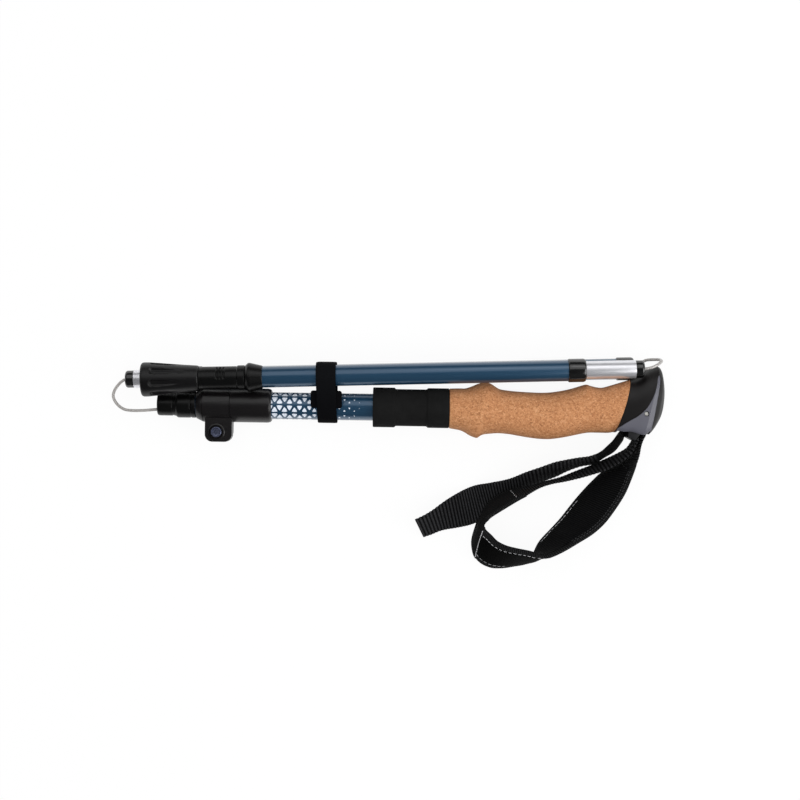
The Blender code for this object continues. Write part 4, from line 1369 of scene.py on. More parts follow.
lever_outline = (
    arc((PIN_Y, PIN_Z), CAM_R, 50, 270, 6)
    + arc((0.0, 0.0), ARM_OUTER, 246, 310, 4)
    + arc((0.0, 0.0), ARM_INNER, 311, 230, 4)
)
lever = as_object(
    "smooth_clamp_lever", raised(lever_outline, LEVER_LOW, LEVER_HIGH, turn=ACROSS_TUBE)
)
lever_bore = barrel(
    PIN_R + 0.2, LEVER_LOW - CUT_PAST, LEVER_HIGH + CUT_PAST, steps=48, axis="X"
)
bmesh.ops.translate(lever_bore, verts=lever_bore.verts, vec=(0.0, PIN_Y, PIN_Z))
carve(lever, as_object("lever_bore", lever_bore))
slot_low, slot_high = SCREW_X - LEVER_SLOT_HALF, SCREW_X + LEVER_SLOT_HALF
carve(lever, as_object("lever_slot", block(slot_low, slot_high, -24.0, -12.2, -15.0, 0.0)))
round_over(lever, 0.45)
finish_piece(lever, HANDLE, black_plastic, "lever", ["clamp_lever"], sharp=30.0)

pin_bar = barrel(PIN_R, PIN_LOW, PIN_HIGH, steps=48, axis="X")
pin = as_object("smooth_clamp_pin", soften(pin_bar, 0.3))
pin.data.transform(Matrix.Translation((0.0, PIN_Y, PIN_Z)))
pin_hole = barrel(PIN_HOLE_R, -16.0, 0.0, steps=32)
bmesh.ops.translate(pin_hole, verts=pin_hole.verts, vec=(SCREW_X, SCREW_Y, 0.0))
carve(pin, as_object("pin_hole", pin_hole))
finish_piece(pin, HANDLE, dark_steel, "handle", ["clamp_pin"], sharp=30.0)

# %% [markdown]
# ## The tip and its rubber foot
#
# The last section ends in a plastic tip with a hard steel point, and a rubber foot is pushed over it
# for walking on roads. The foot has a plain rim, and then eight flutes that start with a round end
# and run out towards the neck. A lathe can't cut flutes, so this surface is a rolled grid: its profile
# gives the radius, and each point near a flute's centre line is pressed in.

# %% A profile with many points
def dense_profile(profile, step):
    """The same profile with extra points, none further apart than step."""
    out = []
    for (s0, r0), (s1, r1) in zip(profile, profile[1:] + profile[:1]):
        count = max(1, math.ceil(math.hypot(s1 - s0, r1 - r0) / step))
        out.extend(
            (s0 + (s1 - s0) * n / count, r0 + (r1 - r0) * n / count) for n in range(count)
        )
    return out


def pressed(profile, sides, press):
    """A turned shape whose radius at (along, angle) is less by press(along, radius, angle)."""
    points = profile + [profile[0]]

    def place(i, k):
        along, radius = points[i]
        angle = 2 * math.pi * (k % sides) / sides
        reach = radius - press(along, radius, angle)
        return Vector((along, reach * math.sin(angle), reach * math.cos(angle)))

    return rolled(len(points) - 1, sides, place)


# %% The rubber foot
FOOT_PROFILE = [
    (-170.4, 0.4),
    (-170.4, 9.9),
    (-170.2, 10.5),
    (-169.7, 11.0),
    (-169.0, 11.25),
    (-168.2, 11.32),
    (-165.2, 11.25),
    (-158.0, 10.6),
    (-150.0, 9.85),
    (-142.0, 9.15),
    (-134.6, 8.6),
    (-133.5, 8.45),
    (-132.9, 8.15),
    (-132.75, 7.7),
    (-132.75, 4.8),
    (-148.6, 4.8),
    (-149.4, 3.7),
    (-164.6, 3.7),
    (-164.6, 0.4),
]
FLUTES = 8
FLUTE_TURN = math.radians(30.0)
FLUTE_START = -164.6
FLUTE_END = -139.0
FLUTE_DEPTH = 1.6
FLUTE_HALF = 2.5
FLUTE_LEAST_R = 8.0
FLUTE_EVEN = 4.0
FLUTE_WALL_IN, FLUTE_WALL_OUT = 0.9, 0.15


def flute(along, radius, angle):
    """How deep the nearest flute is here."""
    if radius < FLUTE_LEAST_R or along < FLUTE_START - 0.5:
        return 0.0
    pitch = 2 * math.pi / FLUTES
    off = (angle - FLUTE_TURN + pitch / 2) % pitch - pitch / 2
    fade = 1.0 - smooth_step(FLUTE_START + FLUTE_EVEN, FLUTE_END, along)
    half = FLUTE_HALF * (0.55 + 0.45 * fade)
    behind = max(0.0, FLUTE_START + half - along)
    away = math.hypot(off * radius, behind)
    wall = smooth_step(half - FLUTE_WALL_IN, half + FLUTE_WALL_OUT, away)
    return FLUTE_DEPTH * fade * (1.0 - wall)


FOOT_SIDES = 192
foot = as_object(
    "fluted_foot", pressed(dense_profile(FOOT_PROFILE, 0.45), FOOT_SIDES, flute)
)
finish_piece(foot, SECTION_4, black_rubber, "foot", ["rubber_foot"], sharp=50.0)

# %% [markdown]
# The tip's body carries three short slots across its top, two fine grooves, and the flange that a
# basket would rest against.

# %% The tip's body
TIP_PROFILE = [
    (-147.0, 2.75),
    (-147.0, 4.0),
    (-146.2, 4.5),
    (-132.45, 4.5),
    (-132.45, 7.5),
    (-131.0, 7.5),
    (-130.4, 7.62),
    (-107.4, 7.55),
    (-107.05, 7.95),
    (-106.8, 8.05),
    (-102.6, 8.05),
    (-102.2, 7.75),
    (-101.1, 8.7),
    (-100.3, 9.4),
    (-99.6, 9.55),
    (-98.8, 9.5),
    (-91.2, 7.6),
    (-90.8, 7.35),
    (-90.8, 7.06),
    (-111.9, 7.06),
    (-111.9, 6.05),
    (-116.0, 6.05),
    (-116.0, 2.75),
]
SLOT_PLACES = (-120.4, -118.2, -116.0)
SLOT_HALF = 0.42
SLOT_DEPTH = 0.75
SLOT_FROM, SLOT_TO = math.radians(-2.0), math.radians(62.0)
SLOT_WALL_IN, SLOT_WALL_OUT = 0.1, 0.3
GROOVE_PLACES = (-107.8, -102.3)
GROOVE_DEPTH = 0.18
GROOVE_FLOOR, GROOVE_EDGE = 0.15, 0.45
MARKED_LEAST_R = 7.3
TIP_SIDES = 128


def tip_marks(along, radius, angle):
    """The slots over a part of the turn, and the grooves all the way round."""
    if radius < MARKED_LEAST_R:
        return 0.0
    turn = (angle + math.pi) % (2 * math.pi) - math.pi
    over = max(SLOT_FROM - turn, turn - SLOT_TO, 0.0) * radius
    deep = 0.0
    for centre in SLOT_PLACES:
        away = math.hypot(along - centre, over)
        wall = smooth_step(SLOT_HALF - SLOT_WALL_IN, SLOT_HALF + SLOT_WALL_OUT, away)
        deep = max(deep, SLOT_DEPTH * (1.0 - wall))
    for centre in GROOVE_PLACES:
        wall = smooth_step(GROOVE_FLOOR, GROOVE_EDGE, abs(along - centre))
        deep = max(deep, GROOVE_DEPTH * (1.0 - wall))
    return deep


tip_form = pressed(dense_profile(TIP_PROFILE, 0.35), TIP_SIDES, tip_marks)
tip_body = as_object("slotted_tip_body", tip_form)
finish_piece(
    tip_body, SECTION_4, deep_plastic, "section_4", ["tip_body"], sharp=50.0
)

STEEL_TIP = [
    (-162.6, 0.0),
    (-162.6, 1.2),
    (-162.0, 1.7),
    (-158.0, 1.9),
    (-155.0, 2.9),
    (-147.3, 3.4),
    (-147.3, 2.55),
    (-117.0, 2.55),
    (-117.0, 0.0),
]
steel_tip = as_object("smooth_steel_tip", soften(turned(STEEL_TIP, closed=False), 0.1))
finish_piece(steel_tip, SECTION_4, steel, "section_4", ["steel_tip"])

# %% [markdown]
# ## The grip head
#
# The head caps the cork and is shaped for the palm. It is lofted through ten sections, from the
# slanted joint with the cork to the rounded end. A grey insert is let into it: the same outer form,
# kept only inside a swept outline, so that its surface runs on in the black without a step. A narrow
# gap is left round it, because two mouldings never meet in one line.

# %% The head's form
HEAD_STATIONS = [
    ((153.0, 21.6), (142.6, -14.3), 15.2, 0.9),
    ((156.6, 22.4), (147.6, -15.0), 15.5, 1.0),
    ((159.8, 24.3), (152.6, -14.9), 15.7, 1.1),
    ((162.8, 27.2), (158.0, -16.6), 15.8, 1.2),
    ((166.8, 29.2), (161.7, -17.2), 15.6, 1.2),
    ((170.4, 30.2), (164.9, -15.6), 15.4, 1.6),
    ((172.9, 28.7), (167.7, -12.7), 14.0, 2.0),
    ((174.2, 25.3), (170.5, -8.7), 11.6, 1.5),
    ((175.0, 20.3), (173.4, -3.4), 8.2, 1.0),
    ((175.45, 14.5), (175.3, 3.5), 3.8, 0.3),
]
HEAD_SQUARE = 2.3
PALM_SQUARE = 5.0
LEAST_HALF = 0.9
INNER_STEP = 2.0
POCKET_HALF = 12.3
FACET_FROM = Vector((167.7, 11.7, 0.0))
FACET_TO = Vector((160.5, -18.7, 0.0))
FACET_FALL = 0.027


def fold_flat(ring):
    """The ring's points moved to its middle line, which closes the end."""
    return [(point + ring[-k % len(ring)]) / 2 for k, point in enumerate(ring)]


def creased(work):
    """Folds the form down along a line in plan, so that its end falls away in two facets."""
    ahead = (FACET_TO - FACET_FROM).normalized()
    endwards = Vector((-ahead.y, ahead.x, 0.0))
    bmesh.ops.bisect_plane(
        work,
        geom=work.verts[:] + work.edges[:] + work.faces[:],
        dist=1e-4,
        plane_co=FACET_FROM,
        plane_no=endwards,
    )
    for vert in work.verts:
        beyond = (vert.co - FACET_FROM).dot(endwards)
        if beyond > 0.0:
            vert.co.z *= 1.0 - FACET_FALL * beyond
    return work


def head_form(name, inset, step=RING_STEP):
    """The head's whole form, drawn in from its surface by inset."""
    rings = []
    last = len(HEAD_STATIONS) - 1
    for i, (finger, palm, half, bend) in enumerate(HEAD_STATIONS):
        length = math.hypot(finger[0] - palm[0], finger[1] - palm[1])
        ux = (finger[0] - palm[0]) / length * inset
        uy = (finger[1] - palm[1]) / length * inset
        shift = inset * (1 - 2 * i / last)
        rings.append(
            section_ring(
                (finger[0] - ux + shift, finger[1] - uy),
                (palm[0] + ux + shift, palm[1] + uy),
                max(half - inset, LEAST_HALF),
                HEAD_SQUARE,
                bend,
                PALM_SQUARE,
            )
        )
    rings = between_rings(rings, step)
    skin = loft([fold_flat(rings[0])] + rings + [fold_flat(rings[-1])])
    return as_object(name, creased(skin))


# %% The outlines of the insert and of the strap's pocket
INSERT_UPPER = [
    (170.6, 23.8),
    (169.7, 21.5),
    (168.9, 17.0),
    (167.4, 11.6),
    (165.0, 6.2),
    (161.6, 1.1),
    (156.5, -3.4),
    (150.6, -6.9),
    (146.4, -9.7),
    (142.4, -13.3),
    (141.0, -24.0),
]
INSERT_LOWER = [
    (165.0, -24.0),
    (166.1, -12.0),
    (167.3, -5.0),
    (168.4, 1.5),
    (169.4, 7.6),
    (170.3, 12.8),
    (171.2, 18.2),
    (171.4, 21.5),
    (171.0, 23.4),
]
POCKET = [
    (140.6, -24.0),
    (142.2, -15.2),
    (145.4, -10.8),
    (148.6, -5.0),
    (153.0, 2.6),
    (158.0, 5.0),
    (163.5, 5.0),
    (167.4, 1.8),
    (167.4, -6.0),
    (165.2, -15.0),
    (164.6, -24.0),
]
INSERT_DEPTH = 1.6
PARTING = 0.14
SWEEP_HALF = 20.0
OUTLINE_STEP = 0.9


def flat_curve(points):
    """A smooth line through points in XY."""
    line = smooth_points([Vector((x, y, 0.0)) for x, y in points], OUTLINE_STEP)
    return [(p.x, p.y) for p in line]


def widened(outline, by):
    """An outline moved out by a little at each point."""
    pairs = zip(outline, outline[1:] + outline[:1])
    area = sum(a[0] * b[1] - b[0] * a[1] for a, b in pairs)
    side = 1 if area > 0 else -1
    out = []
    for k, point in enumerate(outline):
        before = Vector(point) - Vector(outline[k - 1])
        after = Vector(outline[(k + 1) % len(outline)]) - Vector(point)
        along = (before.normalized() + after.normalized()).normalized()
        out.append((point[0] + side * by * along.y, point[1] - side * by * along.x))
    return out


insert_outline = flat_curve(INSERT_UPPER) + flat_curve(INSERT_LOWER)
STRAP_PIN_AT = (162.3, -1.6, 0.0)
STRAP_PIN_R = 1.45
STRAP_PIN_HALF = 14.75
STRAP_PIN_HOLE_R = 1.7
STRAP_PIN_SIDES = 40
HOLE_HALF = 22.0


def cut_head(made):
    """The cuts that the head and its insert share: the strap's pocket and the pin's hole."""
    carve(made, as_object("pocket", raised(POCKET, -POCKET_HALF, POCKET_HALF)))
    hole = barrel(STRAP_PIN_HOLE_R, -HOLE_HALF, HOLE_HALF, steps=STRAP_PIN_SIDES)
    bmesh.ops.translate(hole, verts=hole.verts, vec=STRAP_PIN_AT)
    carve(made, as_object("pin_hole", hole))


# %% The black head
recess = as_object(
    "recess", raised(widened(insert_outline, PARTING), -SWEEP_HALF, SWEEP_HALF)
)
carve(recess, head_form("core", INSERT_DEPTH + 0.15, INNER_STEP))
head = head_form("smooth_grip_head", 0.0)
carve(head, recess)
cut_head(head)
finish_piece(head, HANDLE, satin_plastic, "handle", ["grip_head"], sharp=18.0)

# %% The grey insert
insert = head_form("smooth_head_insert", 0.0)
sweep = as_object("sweep", raised(insert_outline, -SWEEP_HALF, SWEEP_HALF))
carve(insert, sweep, "INTERSECT")
carve(insert, head_form("inner", INSERT_DEPTH, INNER_STEP))
cut_head(insert)
finish_piece(insert, HANDLE, grey_plastic, "handle", ["head_insert"], sharp=18.0)

# %% The strap's pin
strap_pin = barrel(STRAP_PIN_R, -STRAP_PIN_HALF, STRAP_PIN_HALF, steps=STRAP_PIN_SIDES)
soften(strap_pin, 0.55, 4)
bmesh.ops.translate(strap_pin, verts=strap_pin.verts, vec=STRAP_PIN_AT)
pin_piece = as_object("smooth_strap_pin", strap_pin)
finish_piece(pin_piece, HANDLE, pale_steel, "handle", ["strap_pin"], sharp=50.0)

# %% [markdown]
# The wedge is the small block that locks the strap in the head. It is drawn in plan and rounded.

# %% The wedge
WEDGE = [
    (153.4, -3.4),
    (158.2, -3.4),
    (159.4, -9.0),
    (159.0, -15.0),
    (155.6, -19.8),
    (150.8, -17.3),
    (151.2, -10.0),
]
WEDGE_HALF = 11.4
wedge = as_object("smooth_strap_wedge", soften(raised(WEDGE, -WEDGE_HALF, WEDGE_HALF), 0.5, 3))
finish_piece(wedge, HANDLE, wedge_plastic, "handle", ["strap_wedge"], sharp=30.0)

# %% [markdown]
# ## The wrist strap
#
# The strap is a band of ribbed webbing that stands on its edge. Its tail comes out of the head and
# lies loose. Its lead carries the pad, and the pad turns back and runs into the head again. From
# above, a leaning band shows its upper edge and a part of one face. So each row gives both edges in
# plan, the lower edge's height and the band's width, and the upper edge's height follows from them.

# %% The rows of the four lengths
STRAP_LOW = 4.0
WEB_WIDTH = 24.0
TAIL_WIDTH = 24.8
TAIL = [
    ((160.0, 1.9), (160.0, 1.9), STRAP_LOW, WEB_WIDTH),
    ((154.6, 0.2), (154.6, 0.2), STRAP_LOW, WEB_WIDTH),
    ((150.3, -5.6), (150.3, -5.6), STRAP_LOW, WEB_WIDTH),
    ((146.6, -11.4), (150.4, -12.4), STRAP_LOW, WEB_WIDTH),
    ((144.0, -15.4), (151.3, -18.2), 4.0, WEB_WIDTH),
    ((141.3, -19.5), (148.6, -23.3), 3.0, WEB_WIDTH),
    ((138.1, -22.9), (145.0, -27.7), 2.5, WEB_WIDTH),
    ((133.0, -27.5), (139.3, -31.3), 2.0, WEB_WIDTH),
    ((126.4, -30.4), (131.8, -35.9), 1.5, WEB_WIDTH),
    ((118.5, -31.6), (122.7, -37.9), 1.2, TAIL_WIDTH),
    ((110.4, -33.1), (113.8, -41.3), 1.0, TAIL_WIDTH),
    ((103.0, -34.8), (106.4, -45.1), 1.0, TAIL_WIDTH),
    ((94.0, -38.1), (97.9, -48.6), 1.0, TAIL_WIDTH),
    ((84.2, -41.6), (88.9, -54.5), 1.0, TAIL_WIDTH),
    ((73.7, -46.0), (78.2, -63.0), 1.0, TAIL_WIDTH),
    ((61.4, -49.1), (67.4, -69.8), 1.0, TAIL_WIDTH),
    ((51.5, -51.4), (58.4, -74.8), 1.0, TAIL_WIDTH),
    ((43.2, -54.9), (48.9, -78.8), 1.0, TAIL_WIDTH),
    ((34.4, -59.5), (39.5, -81.0), 1.0, TAIL_WIDTH),
    ((28.4, -63.4), (33.4, -82.1), 1.0, TAIL_WIDTH),
    ((22.8, -67.6), (28.2, -83.3), 1.0, TAIL_WIDTH),
    ((16.8, -71.3), (22.5, -85.7), 1.0, TAIL_WIDTH),
    ((11.0, -74.1), (17.2, -87.5), 1.0, TAIL_WIDTH),
]
LEAD = [
    ((161.0, 2.0), (161.0, 2.0), STRAP_LOW, WEB_WIDTH),
    ((164.2, 1.6), (164.2, 1.6), STRAP_LOW, WEB_WIDTH),
    ((166.0, -1.6), (166.0, -1.6), STRAP_LOW, WEB_WIDTH),
    ((164.2, -8.0), (164.2, -8.0), STRAP_LOW, WEB_WIDTH),
    ((162.2, -15.0), (162.2, -15.0), STRAP_LOW, WEB_WIDTH),
    ((160.1, -19.6), (159.9, -20.2), STRAP_LOW, WEB_WIDTH),
    ((159.0, -24.0), (157.8, -25.2), 4.0, WEB_WIDTH),
    ((158.4, -28.4), (155.4, -29.8), 4.0, WEB_WIDTH),
    ((157.5, -32.0), (153.0, -33.4), 4.0, WEB_WIDTH),
    ((157.1, -33.4), (151.2, -34.2), 3.8, 25.5),
]
PAD = [
    ((156.6, -33.2), (151.2, -33.4), 3.8, 25.5),
    ((155.6, -36.6), (146.0, -36.6), 2.6, 29.0),
    ((153.0, -44.8), (137.1, -41.9), 2.0, 32.0),
    ((149.6, -55.1), (129.1, -49.2), 2.0, 32.0),
    ((143.1, -66.5), (121.4, -57.6), 2.0, 32.0),
    ((136.9, -74.7), (115.6, -64.9), 2.0, 32.0),
    ((129.2, -81.2), (109.1, -73.7), 2.0, 32.0),
    ((118.7, -87.2), (102.5, -81.4), 2.0, 32.0),
    ((108.4, -92.7), (97.1, -87.2), 2.0, 32.0),
    ((100.6, -95.8), (94.3, -91.4), 2.0, 32.0),
    ((95.2, -95.5), (92.2, -96.8), 2.0, 32.0),
    ((91.0, -94.4), (90.8, -102.0), 2.0, 32.0),
    ((86.0, -93.2), (85.4, -104.4), 2.0, 32.0),
    ((79.0, -91.9), (78.6, -105.8), 2.0, 32.0),
    ((71.4, -90.1), (70.8, -107.2), 2.0, 32.0),
    ((65.4, -87.2), (63.2, -107.2), 2.0, 31.0),
    ((61.5, -83.2), (56.1, -104.2), 2.2, 30.0),
    ((57.9, -79.9), (51.7, -98.8), 3.0, 29.0),
    ((55.5, -76.6), (50.8, -90.7), 4.2, 28.0),
    ((56.3, -73.7), (52.6, -82.2), 5.4, 27.0),
    ((60.0, -70.7), (55.3, -73.4), 6.4, 26.5),
    ((65.6, -67.4), (59.0, -65.2), 7.6, 26.0),
    ((71.8, -63.5), (65.6, -58.8), 9.4, 25.5),
    ((77.9, -59.5), (73.4, -54.8), 11.2, 25.0),
    ((83.9, -56.0), (81.4, -52.4), 12.2, WEB_WIDTH),
]
RETURN = [
    ((83.9, -56.0), (81.4, -52.4), 12.2, WEB_WIDTH),
    ((92.6, -50.9), (91.6, -50.4), 10.0, WEB_WIDTH),
    ((100.8, -48.2), (99.9, -48.0), 8.0, WEB_WIDTH),
    ((109.8, -46.7), (109.1, -45.5), 5.0, WEB_WIDTH),
    ((120.1, -44.3), (119.7, -41.2), 3.5, WEB_WIDTH),
    ((129.7, -41.5), (128.9, -37.6), 3.0, WEB_WIDTH),
    ((136.6, -39.2), (135.9, -34.4), 3.0, WEB_WIDTH),
    ((143.4, -35.6), (142.5, -31.3), 3.5, WEB_WIDTH),
    ((149.2, -31.6), (148.2, -28.4), 4.0, WEB_WIDTH),
    ((153.1, -27.4), (152.9, -25.6), 4.0, WEB_WIDTH),
    ((155.7, -22.6), (155.8, -22.0), STRAP_LOW, WEB_WIDTH),
    ((157.4, -18.6), (158.6, -16.8), STRAP_LOW, WEB_WIDTH),
]

# %% From rows to an even band
EDGE_SHARE = 0.1
ROW_STEP = 0.32


def leaning(top, foot, low, width, inset):
    """Both edge points of a band of this width, from its outline in plan."""
    over = Vector((foot[0] - top[0], foot[1] - top[1], 0.0))
    flat = over.length
    share = min(inset / max(flat, 0.01), 0.3)
    flat *= 1 - 2 * share
    rise = math.sqrt(max(width * width - flat * flat, 0.0))
    return [Vector((*top, low + rise)) + over * share, Vector((*foot, low)) - over * share]


def band_rows(rows, thick):
    """The band's edges at equal steps along its middle, and the way its front looks."""
    rings = between_rings([leaning(*row, thick * EDGE_SHARE) for row in rows], 1.0)
    reach = [0.0]
    for before, after in zip(rings, rings[1:]):
        moved = (after[0] + after[1] - before[0] - before[1]) / 2
        reach.append(reach[-1] + moved.length)
    count = round(reach[-1] / ROW_STEP)
    edges = []
    at = 0
    for n in range(count + 1):
        target = reach[-1] * n / count
        while at < len(reach) - 2 and reach[at + 1] < target:
            at += 1
        share = (target - reach[at]) / (reach[at + 1] - reach[at])
        edges.append([a.lerp(b, share) for a, b in zip(rings[at], rings[at + 1])])
    faced = []
    for n, (top, foot) in enumerate(edges):
        before = edges[max(n - 1, 0)]
        after = edges[min(n + 1, count)]
        along = (after[0] + after[1] - before[0] - before[1]).normalized()
        faced.append((top, foot, along.cross((top - foot).normalized()).normalized()))
    return faced, reach[-1] / count


# %% The skin of a band
def spread(share):
    """Places across a band, closer together near its two edges."""
    return 0.35 * share + 0.65 * (1 - math.cos(math.pi * share)) / 2


def round_edge(share, width, half):
    """1 over the band's middle, and down to 0 at its edges on a quarter circle."""
    inward = min(share, 1.0 - share) * width / half
    return math.sqrt(max(1.0 - (1.0 - min(inward, 1.0)) ** 2, 0.0))


def band_skin(count, across, point, mark):
    """A closed band. point(row, share, front) is a place on its skin, mark(row, share) its UV."""

    def spot(i, k):
        k %= 2 * across
        front = k <= across
        share = spread(k / across if front else 2 - k / across)
        return min(max(i - 1, 0), count - 1), share, front

    def place(i, k):
        row, share, front = spot(i, k)
        if i in (0, count + 1):
            return (point(row, share, True) + point(row, share, False)) / 2
        return point(row, share, front)

    def unwrap(i, k):
        row, share, _ = spot(i, k)
        return mark(row, share)

    return rolled(count + 1, 2 * across, place, unwrap)


# %% [markdown]
# The ribs are modelled: each is a low swell over both faces, and it pushes the edge out a little,
# which gives the webbing its scalloped outline. Their light and shade are painted as well, by the
# webbing's finish. Near the grip the webbing is of a coarser kind, so the distance between ribs is a
# function of the place along the band.

# %% Ribbed webbing
WEB_THICK = 1.5
SCALLOP = 0.25


def count_ribs(rows, step, pitch_at):
    """How many ribs lie before each row."""
    counted = [0.0]
    for n in range(rows - 1):
        counted.append(counted[-1] + step / pitch_at(n * step))
    return counted


def crest(counted):
    """The height of the ribbing here, 0 in a valley and 1 on a rib."""
    return abs(math.sin(math.pi * counted)) ** 0.8


def webbing_band(name, rows, pitch_at, rib, node):
    """A length of ribbed webbing, in place of its CAD node."""
    faced, step = band_rows(rows, WEB_THICK)
    counted = count_ribs(len(faced), step, pitch_at)

    def point(row, share, front):
        top, foot, out = faced[row]
        width = (foot - top).length
        wave = crest(counted[row])
        wider = 1.0 + 2 * SCALLOP * (wave - 0.5) / width
        half = WEB_THICK / 2 - rib + rib * wave
        away = half * round_edge(share, width, WEB_THICK / 2)
        middle = top.lerp(foot, 0.5 + (share - 0.5) * wider)
        return middle + out * (away if front else -away)

    def mark(row, share):
        return counted[row], share * WEB_WIDTH

    made = as_object(name, band_skin(len(faced), 16, point, mark))
    finish_piece(made, ON_TABLE, webbing, "handle", [node], sharp=60.0)
    print(name, "is", round(step * (len(faced) - 1), 1), "mm long")
    return made


def between(first, last, low, high):
    """A pitch that goes from first to last between two places along the band."""
    return lambda s: first + (last - first) * smooth_step(low, high, s)


def tail_pitch(s):
    """The tail is plain next to the head, then coarse, then fine, and coarser at its end."""
    return 400.0 if s < 46.0 else between(2.7, 1.9, 88, 112)(s) + between(0.0, 0.5, 135, 155)(s)


for name, rows, pitch_at, rib, node in (
    ("ribbed_tail", TAIL, tail_pitch, 0.24, "strap_tail"),
    ("ribbed_lead", LEAD, between(2.4, 2.0, 20, 30), 0.2, "strap_lead"),
    ("ribbed_return", RETURN, between(1.6, 2.5, 6, 30), 0.24, "strap_return"),
):
    webbing_band(name, rows, pitch_at, rib, node)

# %% [markdown]
# ## The pad
#
# The pad is the wide part that lies on the back of the hand. Its core is a thick webbing whose edges
# are left bare as a ribbed border. A knitted lining covers the inner face and a smooth cloth the
# outer one, each over a thin layer of foam, so both are crowned and pulled down along their seams.
# A plain sleeve covers the turn at the far end, closed by a slanted seam in pale thread. The pad bows
# outwards where it rounds the bend before that, because it is stiffer across than along.

# %% The pad's middle surface
PAD_THICK = 3.0
PAD_ROWS, PAD_STEP = band_rows(PAD, PAD_THICK)
PAD_LONG = PAD_STEP * (len(PAD_ROWS) - 1)
PAD_WIDE = 32.0
BOW = 2.4
BOW_START, BOW_FULL = 66.0, 78.0
BOW_FADE, BOW_END = 82.0, 99.0


def pad_frame(s):
    """The pad's two edges and the way out of its inner face, at this length from its start."""
    at = min(max(s / PAD_STEP, 0.0), len(PAD_ROWS) - 1.001)
    row = int(at)
    return [a.lerp(b, at - row) for a, b in zip(PAD_ROWS[row], PAD_ROWS[row + 1])]


def pad_point(s, share, away=0.0):
    """A place at this share of the pad's width, and away from its middle surface."""
    top, foot, out = pad_frame(s)
    bow = BOW * smooth_step(BOW_START, BOW_FULL, s) * (1.0 - smooth_step(BOW_FADE, BOW_END, s))
    return top.lerp(foot, share) + out * (away - bow * 4 * share * (1 - share))


def pad_width(s):
    top, foot, _ = pad_frame(s)
    return (foot - top).length


# %% The core
CORE_RIB = 0.14
CORE_PITCH = 1.25
CORE_ROWS = round(PAD_LONG / ROW_STEP)


def core_point(row, share, front):
    s = PAD_LONG * row / (CORE_ROWS - 1)
    half = PAD_THICK / 2 - CORE_RIB + CORE_RIB * crest(s / CORE_PITCH)
    away = half * round_edge(share, pad_width(s), PAD_THICK / 2)
    return pad_point(s, share, away if front else -away)


def core_mark(row, share):
    return PAD_LONG * row / (CORE_ROWS - 1) / CORE_PITCH, share * PAD_WIDE


core = as_object("pad_core", band_skin(CORE_ROWS, 18, core_point, core_mark))
finish_piece(core, ON_TABLE, fine_webbing, "handle", ["strap_pad"], sharp=60.0)

# %% The two faces and the sleeve
COVER_PITCH = 1.45
COVER_STEP = 0.36
COVER_WIDE = 26.0
COVER_TUCK = 4.0
COVER_EDGE = 2.2
COVER_PUFF = 0.45
COVER_SUNK = 0.15
INNER_START, INNER_END = 5.0, 176.0
OUTER_START = 8.0
END_START, END_END = 148.0, 176.5
INNER_TOP, INNER_FOOT = 3.0, 2.8
OUTER_TOP, OUTER_FOOT = 4.0, 4.4
SEAM_TOP, SEAM_FOOT = 133.8, 129.6
SLEEVE_END = 149.0


def seam_at(share):
    """Where the slanted seam crosses this share of the width."""
    return SEAM_TOP + (SEAM_FOOT - SEAM_TOP) * share


def pad_cover(name, first, last, top_gap, foot_gap, side, crown, material, round_ends=3.0):
    """A crowned cover on one face. side is 1 for the inner face and -1 for the outer one."""
    count = round((last(0.5) - first) / COVER_STEP) + 1

    def at(row, share):
        return first + (last(share) - first) * row / (count - 1)

    def point(row, share, front):
        s = at(row, share)
        pulled = 1.0 - min(min(row, count - 1 - row) * COVER_STEP / round_ends, 1.0)
        tuck = COVER_TUCK * (1.0 - math.sqrt(max(1.0 - pulled * pulled, 0.0)))
        width = pad_width(s)
        low = (top_gap + tuck) / width
        high = 1.0 - (foot_gap + tuck) / width
        edge = round_edge(share, (high - low) * width, COVER_EDGE)
        puff = edge * (COVER_PUFF + crown * 4 * share * (1 - share)) * (1.0 - 0.5 * pulled)
        away = PAD_THICK / 2 - COVER_SUNK + (puff if front == (side > 0) else -0.5 * edge)
        return pad_point(s, low + (high - low) * share, side * away)

    def mark(row, share):
        return at(row, share) / COVER_PITCH, share * COVER_WIDE

    made = as_object(name, band_skin(count, 14, point, mark))
    finish_piece(made, ON_TABLE, material, "handle", ["strap_pad"], sharp=60.0)
    return made


pad_cover(
    "pad_inner_cover",
    INNER_START,
    lambda share: INNER_END,
    INNER_TOP,
    INNER_FOOT,
    1,
    0.5,
    lining,
    5.0,
)
pad_cover("pad_outer_cover", OUTER_START, seam_at, OUTER_TOP, OUTER_FOOT, -1, 0.5, face_cloth, 1.0)
pad_cover("pad_end_cover", END_START, lambda share: END_END, 1.2, 4.6, -1, 0.4, sleeve_cloth)
SLEEVE_ROWS = 48
SLEEVE_HALF = PAD_THICK / 2 + 0.42
SLEEVE_WIDER = 0.8


def sleeve_place(row, share):
    return seam_at(share) + (SLEEVE_END - seam_at(share)) * row / (SLEEVE_ROWS - 1)


def sleeve_point(row, share, front):
    s = sleeve_place(row, share)
    width = pad_width(s)
    away = SLEEVE_HALF * round_edge(share, width, SLEEVE_HALF)
    across = 0.5 + (share - 0.5) * (1.0 + SLEEVE_WIDER / width)
    return pad_point(s, across, away if front else -away)


def sleeve_mark(row, share):
    return sleeve_place(row, share), share * PAD_WIDE


sleeve = as_object("pad_turn_sleeve", band_skin(SLEEVE_ROWS, 18, sleeve_point, sleeve_mark))
finish_piece(sleeve, ON_TABLE, sleeve_cloth, "handle", ["strap_pad"], sharp=60.0)

# %% [markdown]
# The stitches are little capsules of thread, sunk into the cloth. They are pale along the outer
# seams, across the turn and at the lining's lower edge, and dark at its upper edge and its start.
# They are placed by the length along the pad and by the distance from one of its edges, like a
# sewing machine's guide would do it.

